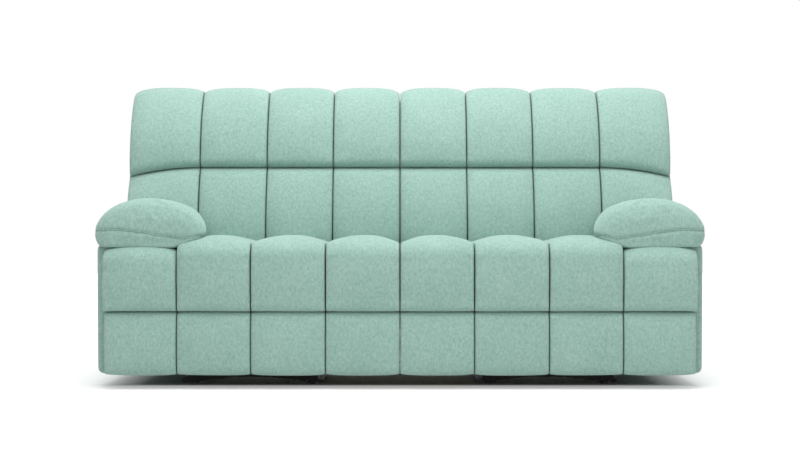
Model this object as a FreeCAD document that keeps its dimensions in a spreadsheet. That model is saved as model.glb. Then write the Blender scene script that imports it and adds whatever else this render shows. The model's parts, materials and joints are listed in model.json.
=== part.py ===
"""Two-seat reclining sofa: two units side by side, each with a gliding seat, a reclining back and a footrest.

Millimetres. X runs along the sofa, the sitter faces -Y, Z is up, and the floor is Z = 0. The left unit
(at negative X) is built from the sheet's sizes and the right unit is its mirror image.
"""
import FreeCAD
import Part
import Sketcher
import math
import os
import re

doc = FreeCAD.newDocument("RecliningSofa")
sheet = doc.addObject("Spreadsheet::Sheet", "Sizes")
SIZES = {
    # Overall stations of the left unit.
    "middle_x": -500,  # centre of the left unit's mechanism
    "seat_outer_x": -732,  # outer side of the seat frame
    "seat_inner_x": -6,  # end of the seat frame at the sofa's middle
    "arm_outer_x": -1004,  # outer side of the arm
    "front_y": -470,  # front of the seat roll
    "crown_z": 500,  # top of the seat cushion
    "half_gap": 3,  # from the sofa's middle to the soft forms
    "soft_gap": 0.5,  # between a soft form and its neighbour
    "run_gap": 0.06,  # radial clearance of a running pin
    # Mechanism planes: offsets from the unit's centre, and the plate stock.
    "plate": 4,  # thickness of the mechanism's steel
    "step": 2,  # gap between neighbouring steel planes
    "web_offset": 218,  # inner face of the base rail web
    "pin_r": 5,  # pivot pin radius
    "head_r": 9,  # rivet head radius
    "head": 1.4,  # rivet head thickness
    "play": 0.2,  # side play at a rivet
    "link_half": 9,  # half the width of a footrest link
    # Base.
    "glide": 9,  # height of a floor glide
    "glide_r": 13.5,  # radius of a floor glide
    "glide_offset": 198,  # glide from the unit's centre
    "bar_front_y": -222,  # front of the front cross bar
    "bar_back_y": 216,  # back of the rear cross bar
    "bar_top": 38,  # top of the cross bars
    "bar_arch": 14,  # rise of the cross bar's arched underside
    "web_top": 84,  # top of the base rail web
    "swing_half": 11,  # half the width of a swing link
    "base_z": 60,  # height of the base pivots
    "base_rear_y": 120,  # rear base pivot
    "base_front_y": -160,  # front base pivot
    "lean_y": 61,  # seat pivot behind its base pivot at rest
    "lean_z": 137,  # seat pivot above its base pivot at rest
    # Seat frame and back hinge.
    "hinge_y": 235,  # back hinge
    "hinge_z": 250,  # back hinge height
    "rail": 22,  # thickness of the frame timber
    "rail_low": 215,  # underside of the side rails
    "rail_top": 290,  # top of the seat frame
    "front_rail_low": 254,  # underside of the front rail
    "frame_front_y": -372,  # front of the seat frame
    "frame_back_y": 120,  # back of the seat frame
    # Footrest linkage pivots at rest.
    "drive_y": -335,  # drive pivot on the mechanism plate
    "drive_z": 234,  # drive pivot height
    "link_knee_y": -219.516,  # drive link to carrier link
    "link_knee_z": 106.534,  # drive link to carrier link, height
    "toe_y": -371,  # carrier link to footrest bracket
    "toe_z": 188,  # carrier link to footrest bracket, height
    "guide_y": -300.194,  # guide link on the mechanism plate
    "guide_z": 214.58,  # guide link on the mechanism plate, height
    "tail_y": -177.348,  # guide link to carrier link
    "tail_z": 96.975,  # guide link to carrier link, height
    "crank_y": -206.613,  # drive link to stay link
    "crank_z": 81.681,  # drive link to stay link, height
    "stay_y": -366.67,  # stay link to footrest bracket
    "stay_z": 150.254,  # stay link to footrest bracket, height
    "tube_r": 10,  # cross tube radius
    "loose_pin_r": 4,  # pin radius at the two working eyes
    "tail_eye": 5.6,  # working room in the carrier link's tail eye
    "stay_eye": 5.0,  # working room in the footrest bracket's lower eye
    # Footrest.
    "board_y": -400,  # front of the footrest board
    "board": 15,  # thickness of the footrest board
    "foot_low": 47,  # bottom of the footrest pad
    "foot_top": 252.5,  # top of the footrest pad
    "foot_front_y": -457,  # front of the footrest pad
    "foot_outer_x": -966,  # outer end of the footrest pad
    # Arm.
    "arm_front_y": -377,  # front of the arm box
    "arm_back_y": 330,  # back of the arm box
    "arm_low": 47,  # bottom of the arm
    "arm_top": 477,  # top of the arm box under the pillow
    "arm_rear_top": 508,  # top of the arm box behind the pillow
    "arm_rear_y": 57,  # front of the raised rear arm
    "arm_round": 30,  # rounding of the arm's long edges
    "shell": 6,  # thickness of an upholstered shell
    "board_thick": 12,  # thickness of the arm frame's boards
    "pillow_top": 628,  # top of the arm pillow
    "pillow_inner_x": -632,  # inner end of the arm pillow
    "pillow_peak_x": -852,  # highest line of the arm pillow
    "pillow_front_y": -430,  # front of the arm pillow
    "pillow_back_y": 50,  # back of the arm pillow
    "roll_low": 256,  # underside of the seat roll
    "seat_back_y": 55,  # back of the seat cushion
    "seam_depth": 20,  # depth of a seam below its crowns
    "cup_y": -210,  # middle of the release cup
    "cup_z": 330,  # middle of the release cup, height
    "lever_pin_r": 3,  # radius of the release lever's pin
    "wire_r": 1.8,  # radius of the seat springs' wire
    "spring_sway": 22,  # half the width of a seat spring
    # Back.
    "lean": 13,  # lean of the back frame, degrees
    "wing_x": -979,  # outer side of the back's wing
    "wing_low": 532,  # underside of the back's wing
    "back_x": -726,  # outer side of the back below the wing
    "crown_back_z": 1050,  # top of the back cushion
    "crease_z": 750,  # crease below the head row
    "crease_y": 150,  # crease below the head row, depth
    "crease_drop": 34,  # fall of the crease at the outer end
    "knee_y": 63,  # front of the back cushion behind the seat
    "knee_up": 508,  # height of that point
    "lumbar_y": 90,  # middle of the lumbar row
    "lumbar_z": 628,  # middle of the lumbar row, height
    "head_row_y": 167,  # front of the head row
    "head_row_z": 892,  # front of the head row, height
    "brow_y": 230,  # where the head row turns over
    "brow_drop": 42,  # from the crown down to that turn
    "crown_back_y": 300,  # crown of the back cushion
    "back_roll": 34,  # from the crown down to the back cushion's rear edge
    "back_rear_low_y": 330,  # outside back at its lower edge
    "back_rear_top_y": 464,  # outside back near the top
    "back_flap_low": 150,  # lower edge of the outside back
    "strap_u": -22,  # front of the back straps, from the hinge line
    # Columns of the cushions, seam to seam.
    "seat_seam_a": -731.4,  # seat seam, outer
    "seat_seam_b": -489,  # seat seam, middle
    "seat_seam_c": -244,  # seat seam, inner
    "seat_end_x": -972,  # outer end of the front roll
    "back_seam_b": -482,  # back seam, middle
    "back_seam_c": -242,  # back seam, inner
}
for row, (alias, number) in enumerate(SIZES.items(), 1):
    sheet.set(f"A{row}", str(number))
    sheet.setAlias(f"A{row}", alias)
doc.recompute()

WORD = re.compile(r"\b[a-z]\w*\b")


def rule(text):
    """A rule in the sheet's names, written for the expression engine."""
    return WORD.sub(lambda word: "Sizes." + word[0] if word[0] in SIZES else word[0], str(text))


def bind(item, **rules):
    for name, text in rules.items():
        item.setExpression(name, rule(text))
    return item


def place(item, x=None, y=None, z=None):
    for axis, text in (("x", x), ("y", y), ("z", z)):
        if text is not None:
            item.setExpression(f".Placement.Base.{axis}", rule(text))
    return item


def block(name, x, y, z, length, width, height):
    item = bind(doc.addObject("Part::Box", name), Length=length, Width=width, Height=height)
    return place(item, x, y, z)


def rod(name, x, y, z, radius, length):
    """A round bar along +X from the point (x, y, z)."""
    item = bind(doc.addObject("Part::Cylinder", name), Radius=radius, Height=length)
    item.Placement.Rotation = FreeCAD.Rotation(FreeCAD.Vector(0, 1, 0), 90)
    return place(item, x, y, z)


def post(name, x, y, z, radius, height):
    """A round bar along +Z."""
    return place(bind(doc.addObject("Part::Cylinder", name), Radius=radius, Height=height), x, y, z)


def bar(name, x, thick, y1, z1, y2, z2, half):
    """The flat strip of a link between two pivots, lying in a plane across X."""
    item = doc.addObject("Part::Box", name)
    angle = f"atan2(({z2}) - ({z1}); ({y2}) - ({y1}))"
    bind(item, Length=thick, Width=f"sqrt((({y2}) - ({y1}))^2 + (({z2}) - ({z1}))^2)", Height=f"2 * ({half})")
    item.Placement.Rotation = FreeCAD.Rotation(FreeCAD.Vector(1, 0, 0), 10)
    item.setExpression(".Placement.Rotation.Angle", rule(angle))
    return place(item, x, f"({y1}) + ({half}) * sin({angle})", f"({z1}) - ({half}) * cos({angle})")


def leaning(name, x, u, w, length, depth, height):
    """A block in the back's leaning frame: u is behind the hinge line, w is along it."""
    item = bind(doc.addObject("Part::Box", name), Length=length, Width=depth, Height=height)
    turn = "lean * 1 deg"
    item.Placement.Rotation = FreeCAD.Rotation(FreeCAD.Vector(-1, 0, 0), 10)
    item.setExpression(".Placement.Rotation.Angle", rule(turn))
    y = f"hinge_y + ({u}) * cos({turn}) + ({w}) * sin({turn})"
    z = f"hinge_z - ({u}) * sin({turn}) + ({w}) * cos({turn})"
    return place(item, x, y, z)


def join(name, items):
    item = doc.addObject("Part::MultiFuse", name)
    item.Shapes = items
    item.Refine = True
    return item


def cut(name, base, tools):
    item = doc.addObject("Part::Cut", name)
    item.Base = base
    item.Tool = tools[0] if len(tools) == 1 else join(name + "_tools", tools)
    return item


def group(name, items):
    item = doc.addObject("Part::Compound", name)
    item.Links = items
    return item


def mirror(name, source, base_x):
    item = doc.addObject("Part::Mirroring", name)
    item.Source = source
    item.Normal = FreeCAD.Vector(1, 0, 0)
    item.setExpression(".Base.x", rule(base_x))
    return item


def both_sides(name, source):
    """A mechanism piece on the outer side of the unit, and its mirror image on the inner side."""
    return group(name, [source, mirror(name + "_inner", source, "middle_x")])


NODES = {}


def node(name, item):
    """Registers a finished piece of the left unit, with its mirror image in the right unit."""
    item.Label = "left_" + name
    NODES[item.Label] = item
    twin = mirror("right_" + name, item, "0")
    twin.Label = "right_" + name
    NODES[twin.Label] = twin


def sketch_body(name, plane, points):
    """A body with one closed sketch on an origin plane; each corner is tied to the sheet."""
    body = doc.addObject("PartDesign::Body", name)
    sketch = body.newObject("Sketcher::SketchObject", name + "_outline")
    support = [axis for axis in body.Origin.OriginFeatures if axis.Role == plane][0]
    sketch.AttachmentSupport = (support, [""])
    sketch.MapMode = "FlatFace"
    doc.recompute()
    known = {key: float(value) for key, value in SIZES.items()}

    def number(text):
        words = WORD.sub(lambda word: repr(known[word[0]]), str(text))
        words = words.replace("- -", "+ ").replace("+ -", "- ")
        total = 0.0
        for sign, figure in re.findall(r"([+-]?)\s*(\d+\.?\d*)", words):
            total += -float(figure) if sign == "-" else float(figure)
        return total

    corners = [FreeCAD.Vector(number(u), number(v), 0) for u, v in points]
    for start, end in zip(corners, corners[1:] + corners[:1]):
        sketch.addGeometry(Part.LineSegment(start, end), False)
    count = len(corners)
    for index in range(count):
        sketch.addConstraint(Sketcher.Constraint("Coincident", index, 2, (index + 1) % count, 1))
    for index, (u, v) in enumerate(points):
        for kind, text, start_value in (("DistanceX", u, corners[index].x), ("DistanceY", v, corners[index].y)):
            mark = sketch.addConstraint(Sketcher.Constraint(kind, -1, 1, index, 1, start_value))
            sketch.setExpression(f"Constraints[{mark}]", rule(text))
    return body, sketch


def pad(body, sketch, length):
    feature = body.newObject("PartDesign::Pad", body.Name + "_pad")
    feature.Profile = sketch
    feature.setExpression("Length", rule(length))
    body.Tip = feature
    doc.recompute()
    return body


# Lateral positions of the mechanism planes on the outer side, each plane's outer (-X) face.
WEB = "middle_x - web_offset - plate"
SWING = "middle_x - web_offset + step"
MECH = "middle_x - web_offset + plate + 2 * step"
LINK_A = "middle_x - web_offset + 2 * plate + 3 * step"
LINK_B = "middle_x - web_offset + 3 * plate + 4 * step"
LINK_C = "middle_x - web_offset + 4 * plate + 5 * step"
LINK_D = "middle_x - web_offset + 5 * plate + 6 * step"


def inward_pin(name, face, y, z, radius="pin_r", collar=True, head_r="head_r", planes=1):
    """A riveted pin from a plate's outer face inwards, through the next plane, with collar and head."""
    reach = f"plate + {planes} * (plate + step)"
    pieces = [rod(name + "_shank", face, y, z, radius, f"{reach} + step - play")]
    head_x = f"{face} + {reach} + play"
    pieces.append(rod(name + "_head", head_x, y, z, head_r, "head"))
    if collar:
        far = f"{planes} * (plate + step) - plate - play"
        pieces.append(rod(name + "_collar", f"{face} + plate", y, z, "pin_r + 3", far))
    return pieces


def outward_pin(name, face, y, z):
    """A riveted pin from a plate's outer face outwards, through the plane outside it."""
    start = f"{face} - plate - step - play - head"
    shank = rod(name + "_shank", start, y, z, "pin_r", "plate + step + play + head")
    head = rod(name + "_head", start, y, z, "head_r", "head")
    collar = rod(name + "_collar", f"{face} - step + play", y, z, "pin_r + 3", "step - play")
    return [shank, head, collar]


def eye(name, face, y, z, radius="link_half"):
    return rod(name, face, y, z, radius, "plate")


def hole(name, face, y, z, radius="pin_r + run_gap"):
    return rod(name, f"{face} - 1", y, z, radius, "plate + 2")


# Base rails: an L-section with two pivot pins and the stops for the rear swing link.
rail_y = "bar_front_y + plate"
rail_long = "bar_back_y - bar_front_y - 2 * plate"
web = block("base_web", WEB, rail_y, "glide + plate", "plate", rail_long, "web_top - glide - plate")
foot = block("base_foot", WEB + " - 18", rail_y, "glide", "18 + plate", rail_long, "plate")
nose = block("base_nose_cut", WEB + " - 1", "bar_front_y", "bar_top", "plate + 2", "36", "60")
tail = block("base_tail_cut", WEB + " - 1", "bar_back_y - 50", "bar_top", "plate + 2", "60", "60")
shaped_web = cut("base_web_shaped", web, [nose, tail])
stop_x = WEB + " + plate"
stop_back = rod("rest_stop", stop_x, "base_rear_y + 24.1", "base_z + 13.5", "5", "plate + step")
stop_front = rod("full_stop", stop_x, "base_rear_y - 24.1", "base_z + 13.5", "5", "plate + step")
pins = inward_pin("base_rear_pin", WEB, "base_rear_y", "base_z")
pins += inward_pin("base_front_pin", WEB, "base_front_y", "base_z")
rail_piece = join("base_rail", [shaped_web, foot, stop_back, stop_front] + pins)
node("base_rails", both_sides("base_rails", rail_piece))

# Cross bars: a web with an arched underside, a top flange, and a tab over each glide.
def cross_bar(name, bar_y, flange_y, tab_y):
    """A bar with an arched lower edge, its flange, and a drilled tab over each glide."""
    body, outline = sketch_body(
        name + "_web",
        "XZ_Plane",
        [
            ("middle_x - web_offset - plate", "glide"),
            ("middle_x - web_offset + 42", "glide"),
            ("middle_x - 60", "glide + bar_arch"),
            ("middle_x + 60", "glide + bar_arch"),
            ("middle_x + web_offset - 42", "glide"),
            ("middle_x + web_offset + plate", "glide"),
            ("middle_x + web_offset + plate", "bar_top"),
            ("middle_x - web_offset - plate", "bar_top"),
        ],
    )
    pad(body, outline, "plate")
    place(body, None, f"{bar_y} + plate", None)
    flange = block(
        name + "_flange", "middle_x - web_offset", flange_y, "bar_top - plate", "2 * web_offset", "20", "plate"
    )
    tab = block(name + "_tab", "middle_x - web_offset", tab_y, "glide", "40", "24", "plate")
    other_tab = block(name + "_other_tab", "middle_x + web_offset - 40", tab_y, "glide", "40", "24", "plate")
    solid = join(name + "_solid", [body, flange, tab, other_tab])
    holes = []
    for side, sign in (("outer", "-"), ("inner", "+")):
        centre = f"middle_x {sign} glide_offset"
        holes.append(post(f"{name}_{side}_hole", centre, f"{tab_y} + 12", "glide - 1", "4.1", "plate + 2"))
    return cut(name, solid, holes)


front_tab_y = "bar_front_y + plate"
rear_tab_y = "bar_back_y - plate - 24"
node("front_cross_bar", cross_bar("front_cross_bar", "bar_front_y", front_tab_y, front_tab_y))
node("rear_cross_bar", cross_bar("rear_cross_bar", "bar_back_y - plate", "bar_back_y - plate - 20", rear_tab_y))

glides = []
for side, sign in (("outer", "-"), ("inner", "+")):
    for end, tab in (("front", front_tab_y), ("rear", rear_tab_y)):
        centre = f"middle_x {sign} glide_offset"
        disc = post(f"glide_{end}_{side}", centre, f"{tab} + 12", "0", "glide_r", "glide")
        soft = doc.addObject("Part::Chamfer", f"glide_{end}_{side}_eased")
        soft.Base = disc
        soft.Edges = [(3, 2.0, 2.0)]
        stem = post(f"glide_{end}_{side}_stem", centre, f"{tab} + 12", "glide - 2", "4", "plate + 4")
        cap = post(f"glide_{end}_{side}_nut", centre, f"{tab} + 12", "glide + plate", "7", "5")
        glides.append(join(f"glide_{end}_{side}_whole", [soft, stem, cap]))
node("glides", group("glides", glides))


def swing(name, base_y):
    top_y = f"{base_y} + lean_y"
    strip = bar(name + "_strip", SWING, "plate", base_y, "base_z", top_y, "base_z + lean_z", "swing_half")
    low = eye(name + "_low_eye", SWING, base_y, "base_z", "swing_half")
    high = eye(name + "_high_eye", SWING, top_y, "base_z + lean_z", "swing_half")
    plain = join(name + "_plain", [strip, low, high])
    holes = [hole(name + "_low_hole", SWING, base_y, "base_z")]
    holes.append(hole(name + "_high_hole", SWING, top_y, "base_z + lean_z"))
    return cut(name + "_link", plain, holes)


node("rear_swing_links", both_sides("rear_swing_links", swing("rear_swing", "base_rear_y")))
node("front_swing_links", both_sides("front_swing_links", swing("front_swing", "base_front_y")))

# Mechanism plates: the profile carries every seat-side pivot.
plate_body, plate_sketch = sketch_body(
    "mechanism_profile",
    "YZ_Plane",
    [
        ("frame_front_y + rail + 1", "front_rail_low + 4"),
        ("frame_front_y + rail + 1", "drive_z - 14"),
        ("guide_y - 14", "guide_z - 14"),
        ("guide_y + 16", "guide_z - 14"),
        ("base_front_y + lean_y - 46", "rail_low"),
        ("base_front_y + lean_y - 18", "base_z + lean_z - 14"),
        ("base_front_y + lean_y + 18", "base_z + lean_z - 14"),
        ("base_front_y + lean_y + 46", "rail_low"),
        ("base_rear_y + lean_y - 46", "rail_low"),
        ("base_rear_y + lean_y - 18", "base_z + lean_z - 14"),
        ("base_rear_y + lean_y + 20", "base_z + lean_z - 14"),
        ("hinge_y + 16", "hinge_z - 14"),
        ("hinge_y + 16", "hinge_z + 14"),
        ("frame_back_y + 10", "rail_top - 8"),
        ("frame_front_y + rail + 30", "rail_top - 8"),
    ],
)
pad(plate_body, plate_sketch, "plate")
place(plate_body, MECH)
pins = outward_pin("seat_rear_pin", MECH, "base_rear_y + lean_y", "base_z + lean_z")
pins += outward_pin("seat_front_pin", MECH, "base_front_y + lean_y", "base_z + lean_z")
pins += inward_pin("guide_pin", MECH, "guide_y", "guide_z")
pins += inward_pin("hinge_pin", MECH, "hinge_y", "hinge_z", "pin_r + 1")
drive_hole = hole("drive_hole", MECH, "drive_y", "drive_z", "tube_r + run_gap")
plate_piece = cut("mechanism_plate", join("mechanism_plate_plain", [plate_body] + pins), [drive_hole])
node("mechanism_plates", both_sides("mechanism_plates", plate_piece))

# Guide links, next to the mechanism plates.
guide = join(
    "guide_plain",
    [
        bar("guide_strip", LINK_A, "plate", "guide_y", "guide_z", "tail_y", "tail_z", "link_half"),
        eye("guide_eye", LINK_A, "guide_y", "guide_z"),
        eye("guide_tail_eye", LINK_A, "tail_y", "tail_z"),
    ]
    + inward_pin("tail_pin", LINK_A, "tail_y", "tail_z", "loose_pin_r", False, "loose_pin_r + tail_eye + 2"),
)
guide_piece = cut("guide_link", guide, [hole("guide_hole", LINK_A, "guide_y", "guide_z")])
node("guide_links", both_sides("guide_links", guide_piece))

# Carrier links: three eyes, the tail eye with working room.
carrier = join(
    "carrier_plain",
    [
        bar("carrier_strip", LINK_B, "plate", "link_knee_y", "link_knee_z", "toe_y", "toe_z", "link_half"),
        bar("carrier_tail", LINK_B, "plate", "link_knee_y", "link_knee_z", "tail_y", "tail_z", "link_half"),
        eye("carrier_knee_eye", LINK_B, "link_knee_y", "link_knee_z"),
        eye("carrier_toe_eye", LINK_B, "toe_y", "toe_z"),
        eye("carrier_tail_eye", LINK_B, "tail_y", "tail_z", "loose_pin_r + tail_eye + 6"),
    ],
)
carrier_piece = cut(
    "carrier_link",
    carrier,
    [
        hole("carrier_knee_hole", LINK_B, "link_knee_y", "link_knee_z"),
        hole("carrier_toe_hole", LINK_B, "toe_y", "toe_z"),
        hole("carrier_tail_hole", LINK_B, "tail_y", "tail_z", "loose_pin_r + tail_eye"),
    ],
)
node("carrier_links", both_sides("carrier_links", carrier_piece))

# Drive links, with the cross tube that turns both sides together.
knee = ("link_knee_y", "link_knee_z")
drive_strip = bar("drive_strip", LINK_C, "plate", "drive_y", "drive_z", *knee, "link_half")
crank_strip = bar("crank_strip", LINK_C, "plate", *knee, "crank_y", "crank_z", "link_half")
drive_eyes = [
    eye("drive_eye", LINK_C, "drive_y", "drive_z", "tube_r + 4"),
    eye("knee_eye", LINK_C, *knee),
    eye("crank_eye", LINK_C, "crank_y", "crank_z"),
]
drive_pins = outward_pin("knee_pin", LINK_C, "link_knee_y", "link_knee_z")
drive_pins += inward_pin("crank_pin", LINK_C, "crank_y", "crank_z")
stub = rod("tube_stub", MECH, "drive_y", "drive_z", "tube_r", "3 * (plate + step)")
drive_side = join("drive_side", [drive_strip, crank_strip, stub] + drive_eyes + drive_pins)
drive_inner = mirror("drive_side_inner", drive_side, "middle_x")
tube = rod("cross_tube", LINK_C, "drive_y", "drive_z", "tube_r", "2 * (web_offset - 4 * plate - 5 * step)")
node("drive_links", join("drive_links", [drive_side, drive_inner, tube]))

stay = join(
    "stay_plain",
    [
        bar("stay_strip", LINK_D, "plate", "crank_y", "crank_z", "stay_y", "stay_z", "link_half - 1"),
        eye("stay_crank_eye", LINK_D, "crank_y", "crank_z"),
        eye("stay_toe_eye", LINK_D, "stay_y", "stay_z", "loose_pin_r + stay_eye + 5"),
    ],
)
stay_holes = [
    hole("stay_crank_hole", LINK_D, "crank_y", "crank_z"),
    hole("stay_toe_hole", LINK_D, "stay_y", "stay_z", "loose_pin_r + stay_eye"),
]
node("stay_links", both_sides("stay_links", cut("stay_link", stay, stay_holes)))

# Footrest brackets: a cheek with two pins and a flange on the back of the board.
board_back = "board_y + board"
cheek_body, cheek_sketch = sketch_body(
    "bracket_profile",
    "YZ_Plane",
    [
        (board_back, "stay_z - 40"),
        (board_back, "toe_z + 22"),
        ("toe_y + 6", "toe_z + 14"),
        ("toe_y + 14", "toe_z"),
        ("stay_y + 18", "stay_z"),
        ("stay_y + 12", "stay_z - 18"),
    ],
)
pad(cheek_body, cheek_sketch, "plate")
place(cheek_body, LINK_C)
flange = block(
    "bracket_flange", LINK_C + " - 22", board_back, "stay_z - 40", "22 + plate", "plate", "toe_z - stay_z + 62"
)
bracket_pins = outward_pin("toe_pin", LINK_C, "toe_y", "toe_z")
stay_head = "loose_pin_r + stay_eye + 2"
bracket_pins += inward_pin("stay_pin", LINK_C, "stay_y", "stay_z", "loose_pin_r", False, stay_head)
bracket = join("footrest_bracket", [cheek_body, flange] + bracket_pins)
node("footrest_brackets", both_sides("footrest_brackets", bracket))
board_piece = block(
    "footrest_board",
    "foot_outer_x + 10",
    "board_y",
    "foot_low + 13",
    "0 - half_gap - 10 - foot_outer_x",
    "board",
    "foot_top - foot_low - 26",
)
node("footrest_board", board_piece)

# Seat frame: front rail, three side rails, rear rails between the plates and to the inner end.
deep = "frame_back_y - frame_front_y - rail"
side_y = "frame_front_y + rail"
rear_y1 = "frame_back_y - rail"
tall = "rail_top - rail_low"
front_tall = "rail_top - front_rail_low"
plate_gap = "2 * (web_offset - plate - 2 * step - plate)"
inner_start = "2 * middle_x - seat_outer_x"
full_wide = "seat_inner_x - seat_outer_x"
inner_gap = "seat_inner_x - rail - 2 * middle_x + seat_outer_x"
frame_pieces = [
    block("front_rail", "seat_outer_x", "frame_front_y", "front_rail_low", full_wide, "rail", front_tall),
    block("outer_rail", "seat_outer_x", side_y, "rail_low", "rail", deep, tall),
    block("middle_rail", inner_start + " - rail", side_y, "rail_low", "rail", deep, tall),
    block("inner_rail", "seat_inner_x - rail", side_y, "rail_low", "rail", deep, tall),
    block("rear_rail_inner", inner_start, rear_y1, "rail_low", inner_gap, "rail", tall),
]
rear_rail = block("rear_rail", MECH + " + plate", rear_y1, "rail_low", plate_gap, "rail", tall)
node("seat_frame", group("seat_frame", [join("seat_frame_glued", frame_pieces), rear_rail]))


def value(name):
    """A size read from the sheet."""
    return float(sheet.get(name))


def point(x, y, z):
    return FreeCAD.Vector(x, y, z)


def form(name, shape):
    """A free form whose shape is worked out from the sheet's sizes."""
    item = doc.addObject("Part::Feature", name)
    item.Shape = shape
    item.Placement = FreeCAD.Placement()
    return item


# Sinuous springs: zigzags of wire between the front and rear rails.
wire_r = value("wire_r")
wire_z = value("rail_top") - wire_r - 1.4
first_y = value("frame_front_y") + value("rail") + 0.1
last_y = value("frame_back_y") - value("rail") - 0.1
bends = 9
sway = value("spring_sway")
sides_of_wire = 6


def wire_ring(centre, radius):
    """A six-sided section of the wire, across Y."""
    turns = [math.tau * index / sides_of_wire for index in range(sides_of_wire)]
    spots = [centre + point(radius * math.cos(turn), 0, radius * math.sin(turn)) for turn in turns]
    return Part.makePolygon(spots + spots[:1])


rail = value("rail")
bay_ends = [
    (value("seat_outer_x") + rail, 2 * value("middle_x") - value("seat_outer_x") - rail, 4),
    (2 * value("middle_x") - value("seat_outer_x"), value("seat_inner_x") - rail, 2),
]
centres = []
for bay_start, bay_end, count in bay_ends:
    centres += [bay_start + (bay_end - bay_start) * (index + 0.5) / count for index in range(count)]
springs = []
for centre_x in centres:
    path = [point(centre_x - sway, first_y, wire_z)]
    for index in range(1, bends + 1):
        along = first_y + (last_y - first_y) * index / bends
        side = sway if index % 2 else -sway
        path.append(point(centre_x - side, along, wire_z))
        if index < bends:
            path.append(point(centre_x + side, along, wire_z))
    ring = wire_ring(path[0], wire_r)
    springs.append(Part.makePolygon(path).makePipeShell([ring], True, False, 1))
node("seat_springs", form("seat_springs", Part.makeCompound(springs)))


def outline(x, start, steps):
    """A closed profile across X: each step is a corner, or a pair (point on the arc, end of the arc)."""
    edges = []
    here = point(x, *start)
    for move in steps + [start]:
        if isinstance(move[0], tuple):
            middle = point(x, *move[0])
            end = point(x, *move[1])
            edges.append(Part.Arc(here, middle, end).toShape())
        else:
            end = point(x, *move)
            edges.append(Part.makeLine(here, end))
        here = end
    return Part.Wire(edges)


def drawn_in(share, depth):
    """How far a column lies below its crown, at a share from -1 at one seam to 1 at the other."""
    return depth * (1 - math.sqrt(1 - abs(share) ** 3.2))


def padded_columns(profile, seams, depth):
    """One lofted form per column, each full at its middle and drawn in at its seams, joined at the seams."""
    columns = []
    for index, (left, right) in enumerate(zip(seams, seams[1:])):
        sections = []
        for share in (-1, -0.93, -0.7, 0, 0.7, 0.93, 1):
            deep_end = depth * 1.5 if index == 0 and share < 0 else depth
            x = (left + right) / 2 + share * (right - left) / 2
            sections.append(profile(index, x, drawn_in(share, deep_end)))
        columns.append(Part.makeLoft(sections, True, True))
    solid = columns[0]
    for column in columns[1:]:
        solid = solid.fuse(column)
    return solid.removeSplitter()


# Seat cushion: four columns at the front roll, three of them running back between the arms.
front = value("front_y")
crown = value("crown_z")
roll_low = value("roll_low")
roll_back = value("arm_front_y") - value("soft_gap")
bed = value("rail_top") + value("soft_gap")
seat_back = value("seat_back_y")
seam_depth = value("seam_depth")
seat_seams = [value("seat_end_x"), value("seat_seam_a"), value("seat_seam_b"), value("seat_seam_c")]
seat_seams.append(-value("half_gap"))


def seat_profile(index, x, d):
    nose = [
        ((front + d, crown - 140), (front + d + 9, roll_low + 34)),
        ((front + 0.5 * d + 18.5, roll_low + 10), (front + 0.3 * d + 42, roll_low)),
        (roll_back, roll_low),
    ]
    if index == 0:
        top = crown - 27 - d
        start = (roll_back, top - 20)
        cap = [
            ((roll_back - 8, top - 5), (roll_back - 28, top)),
            ((front + 0.7 * d + 20, top - 20), (front + d + 4, top - 66)),
        ]
        return outline(x, start, cap + nose)
    start = (seat_back, bed)
    rise = [
        (seat_back, crown - 30 - d),
        ((seat_back - 8, crown - 12 - d), (seat_back - 32, crown - 6 - d)),
        (((front + seat_back) / 2, crown - 2 - d), (front + 75, crown - 2 - d)),
        ((front + 0.7 * d + 21, crown - 24 - 0.7 * d), (front + d + 4, crown - 75)),
    ]
    return outline(x, start, rise + nose + [(roll_back, bed)])


node("seat_cushion", form("seat_cushion", padded_columns(seat_profile, seat_seams, seam_depth)))

# Footrest pad: the same columns on the front of the board.
foot_front = value("foot_front_y")
foot_back = value("board_y") - value("soft_gap")
foot_low = value("foot_low")
foot_top = value("foot_top")
foot_seams = [value("foot_outer_x")] + seat_seams[1:]


def foot_profile(index, x, d):
    start = (foot_back, foot_low + 0.3 * d)
    return outline(
        x,
        start,
        [
            (foot_back, foot_top - 0.3 * d),
            ((foot_front + 27 + 0.5 * d, foot_top - 7.5 - 0.225 * d), (foot_front + 5 + d, foot_top - 28)),
            ((foot_front + d, (foot_low + foot_top) / 2), (foot_front + 5 + d, foot_low + 28)),
            ((foot_front + 24 + 0.5 * d, foot_low + 7.5 + 0.225 * d), (foot_back - 12, foot_low + 0.3 * d)),
        ],
    )


node("footrest_pad", form("footrest_pad", padded_columns(foot_profile, foot_seams, seam_depth * 0.7)))


# Arm: a hollow upholstered cover, its wooden frame, and the release cup in the outer side.
def rounded(name, item, radius, test):
    """Rounds the edges of a block whose middle passes the test."""
    doc.recompute()
    picks = []
    for index, edge in enumerate(item.Shape.Edges, 1):
        middle = edge.CenterOfMass
        if test(middle):
            picks.append((index, radius, radius))
    feature = doc.addObject("Part::Fillet", name)
    feature.Base = item
    feature.Edges = picks
    return feature


def arm_box(name, back_y, front_y, top, inset, radius):
    long = f"({back_y}) - ({front_y}) - 2 * ({inset})"
    item = block(
        name,
        f"arm_outer_x + {inset}",
        f"({front_y}) + {inset}",
        f"arm_low - {inset}",
        f"seat_outer_x - arm_outer_x - 2 * {inset}",
        long,
        f"({top}) - arm_low",
    )
    doc.recompute()
    box = item.Shape.BoundBox

    def outer_edge(middle):
        on_side = abs(middle.x - box.XMin) < 0.01
        return on_side and middle.z > box.ZMin + 1

    return rounded(name + "_rounded", item, radius, outer_edge)


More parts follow.
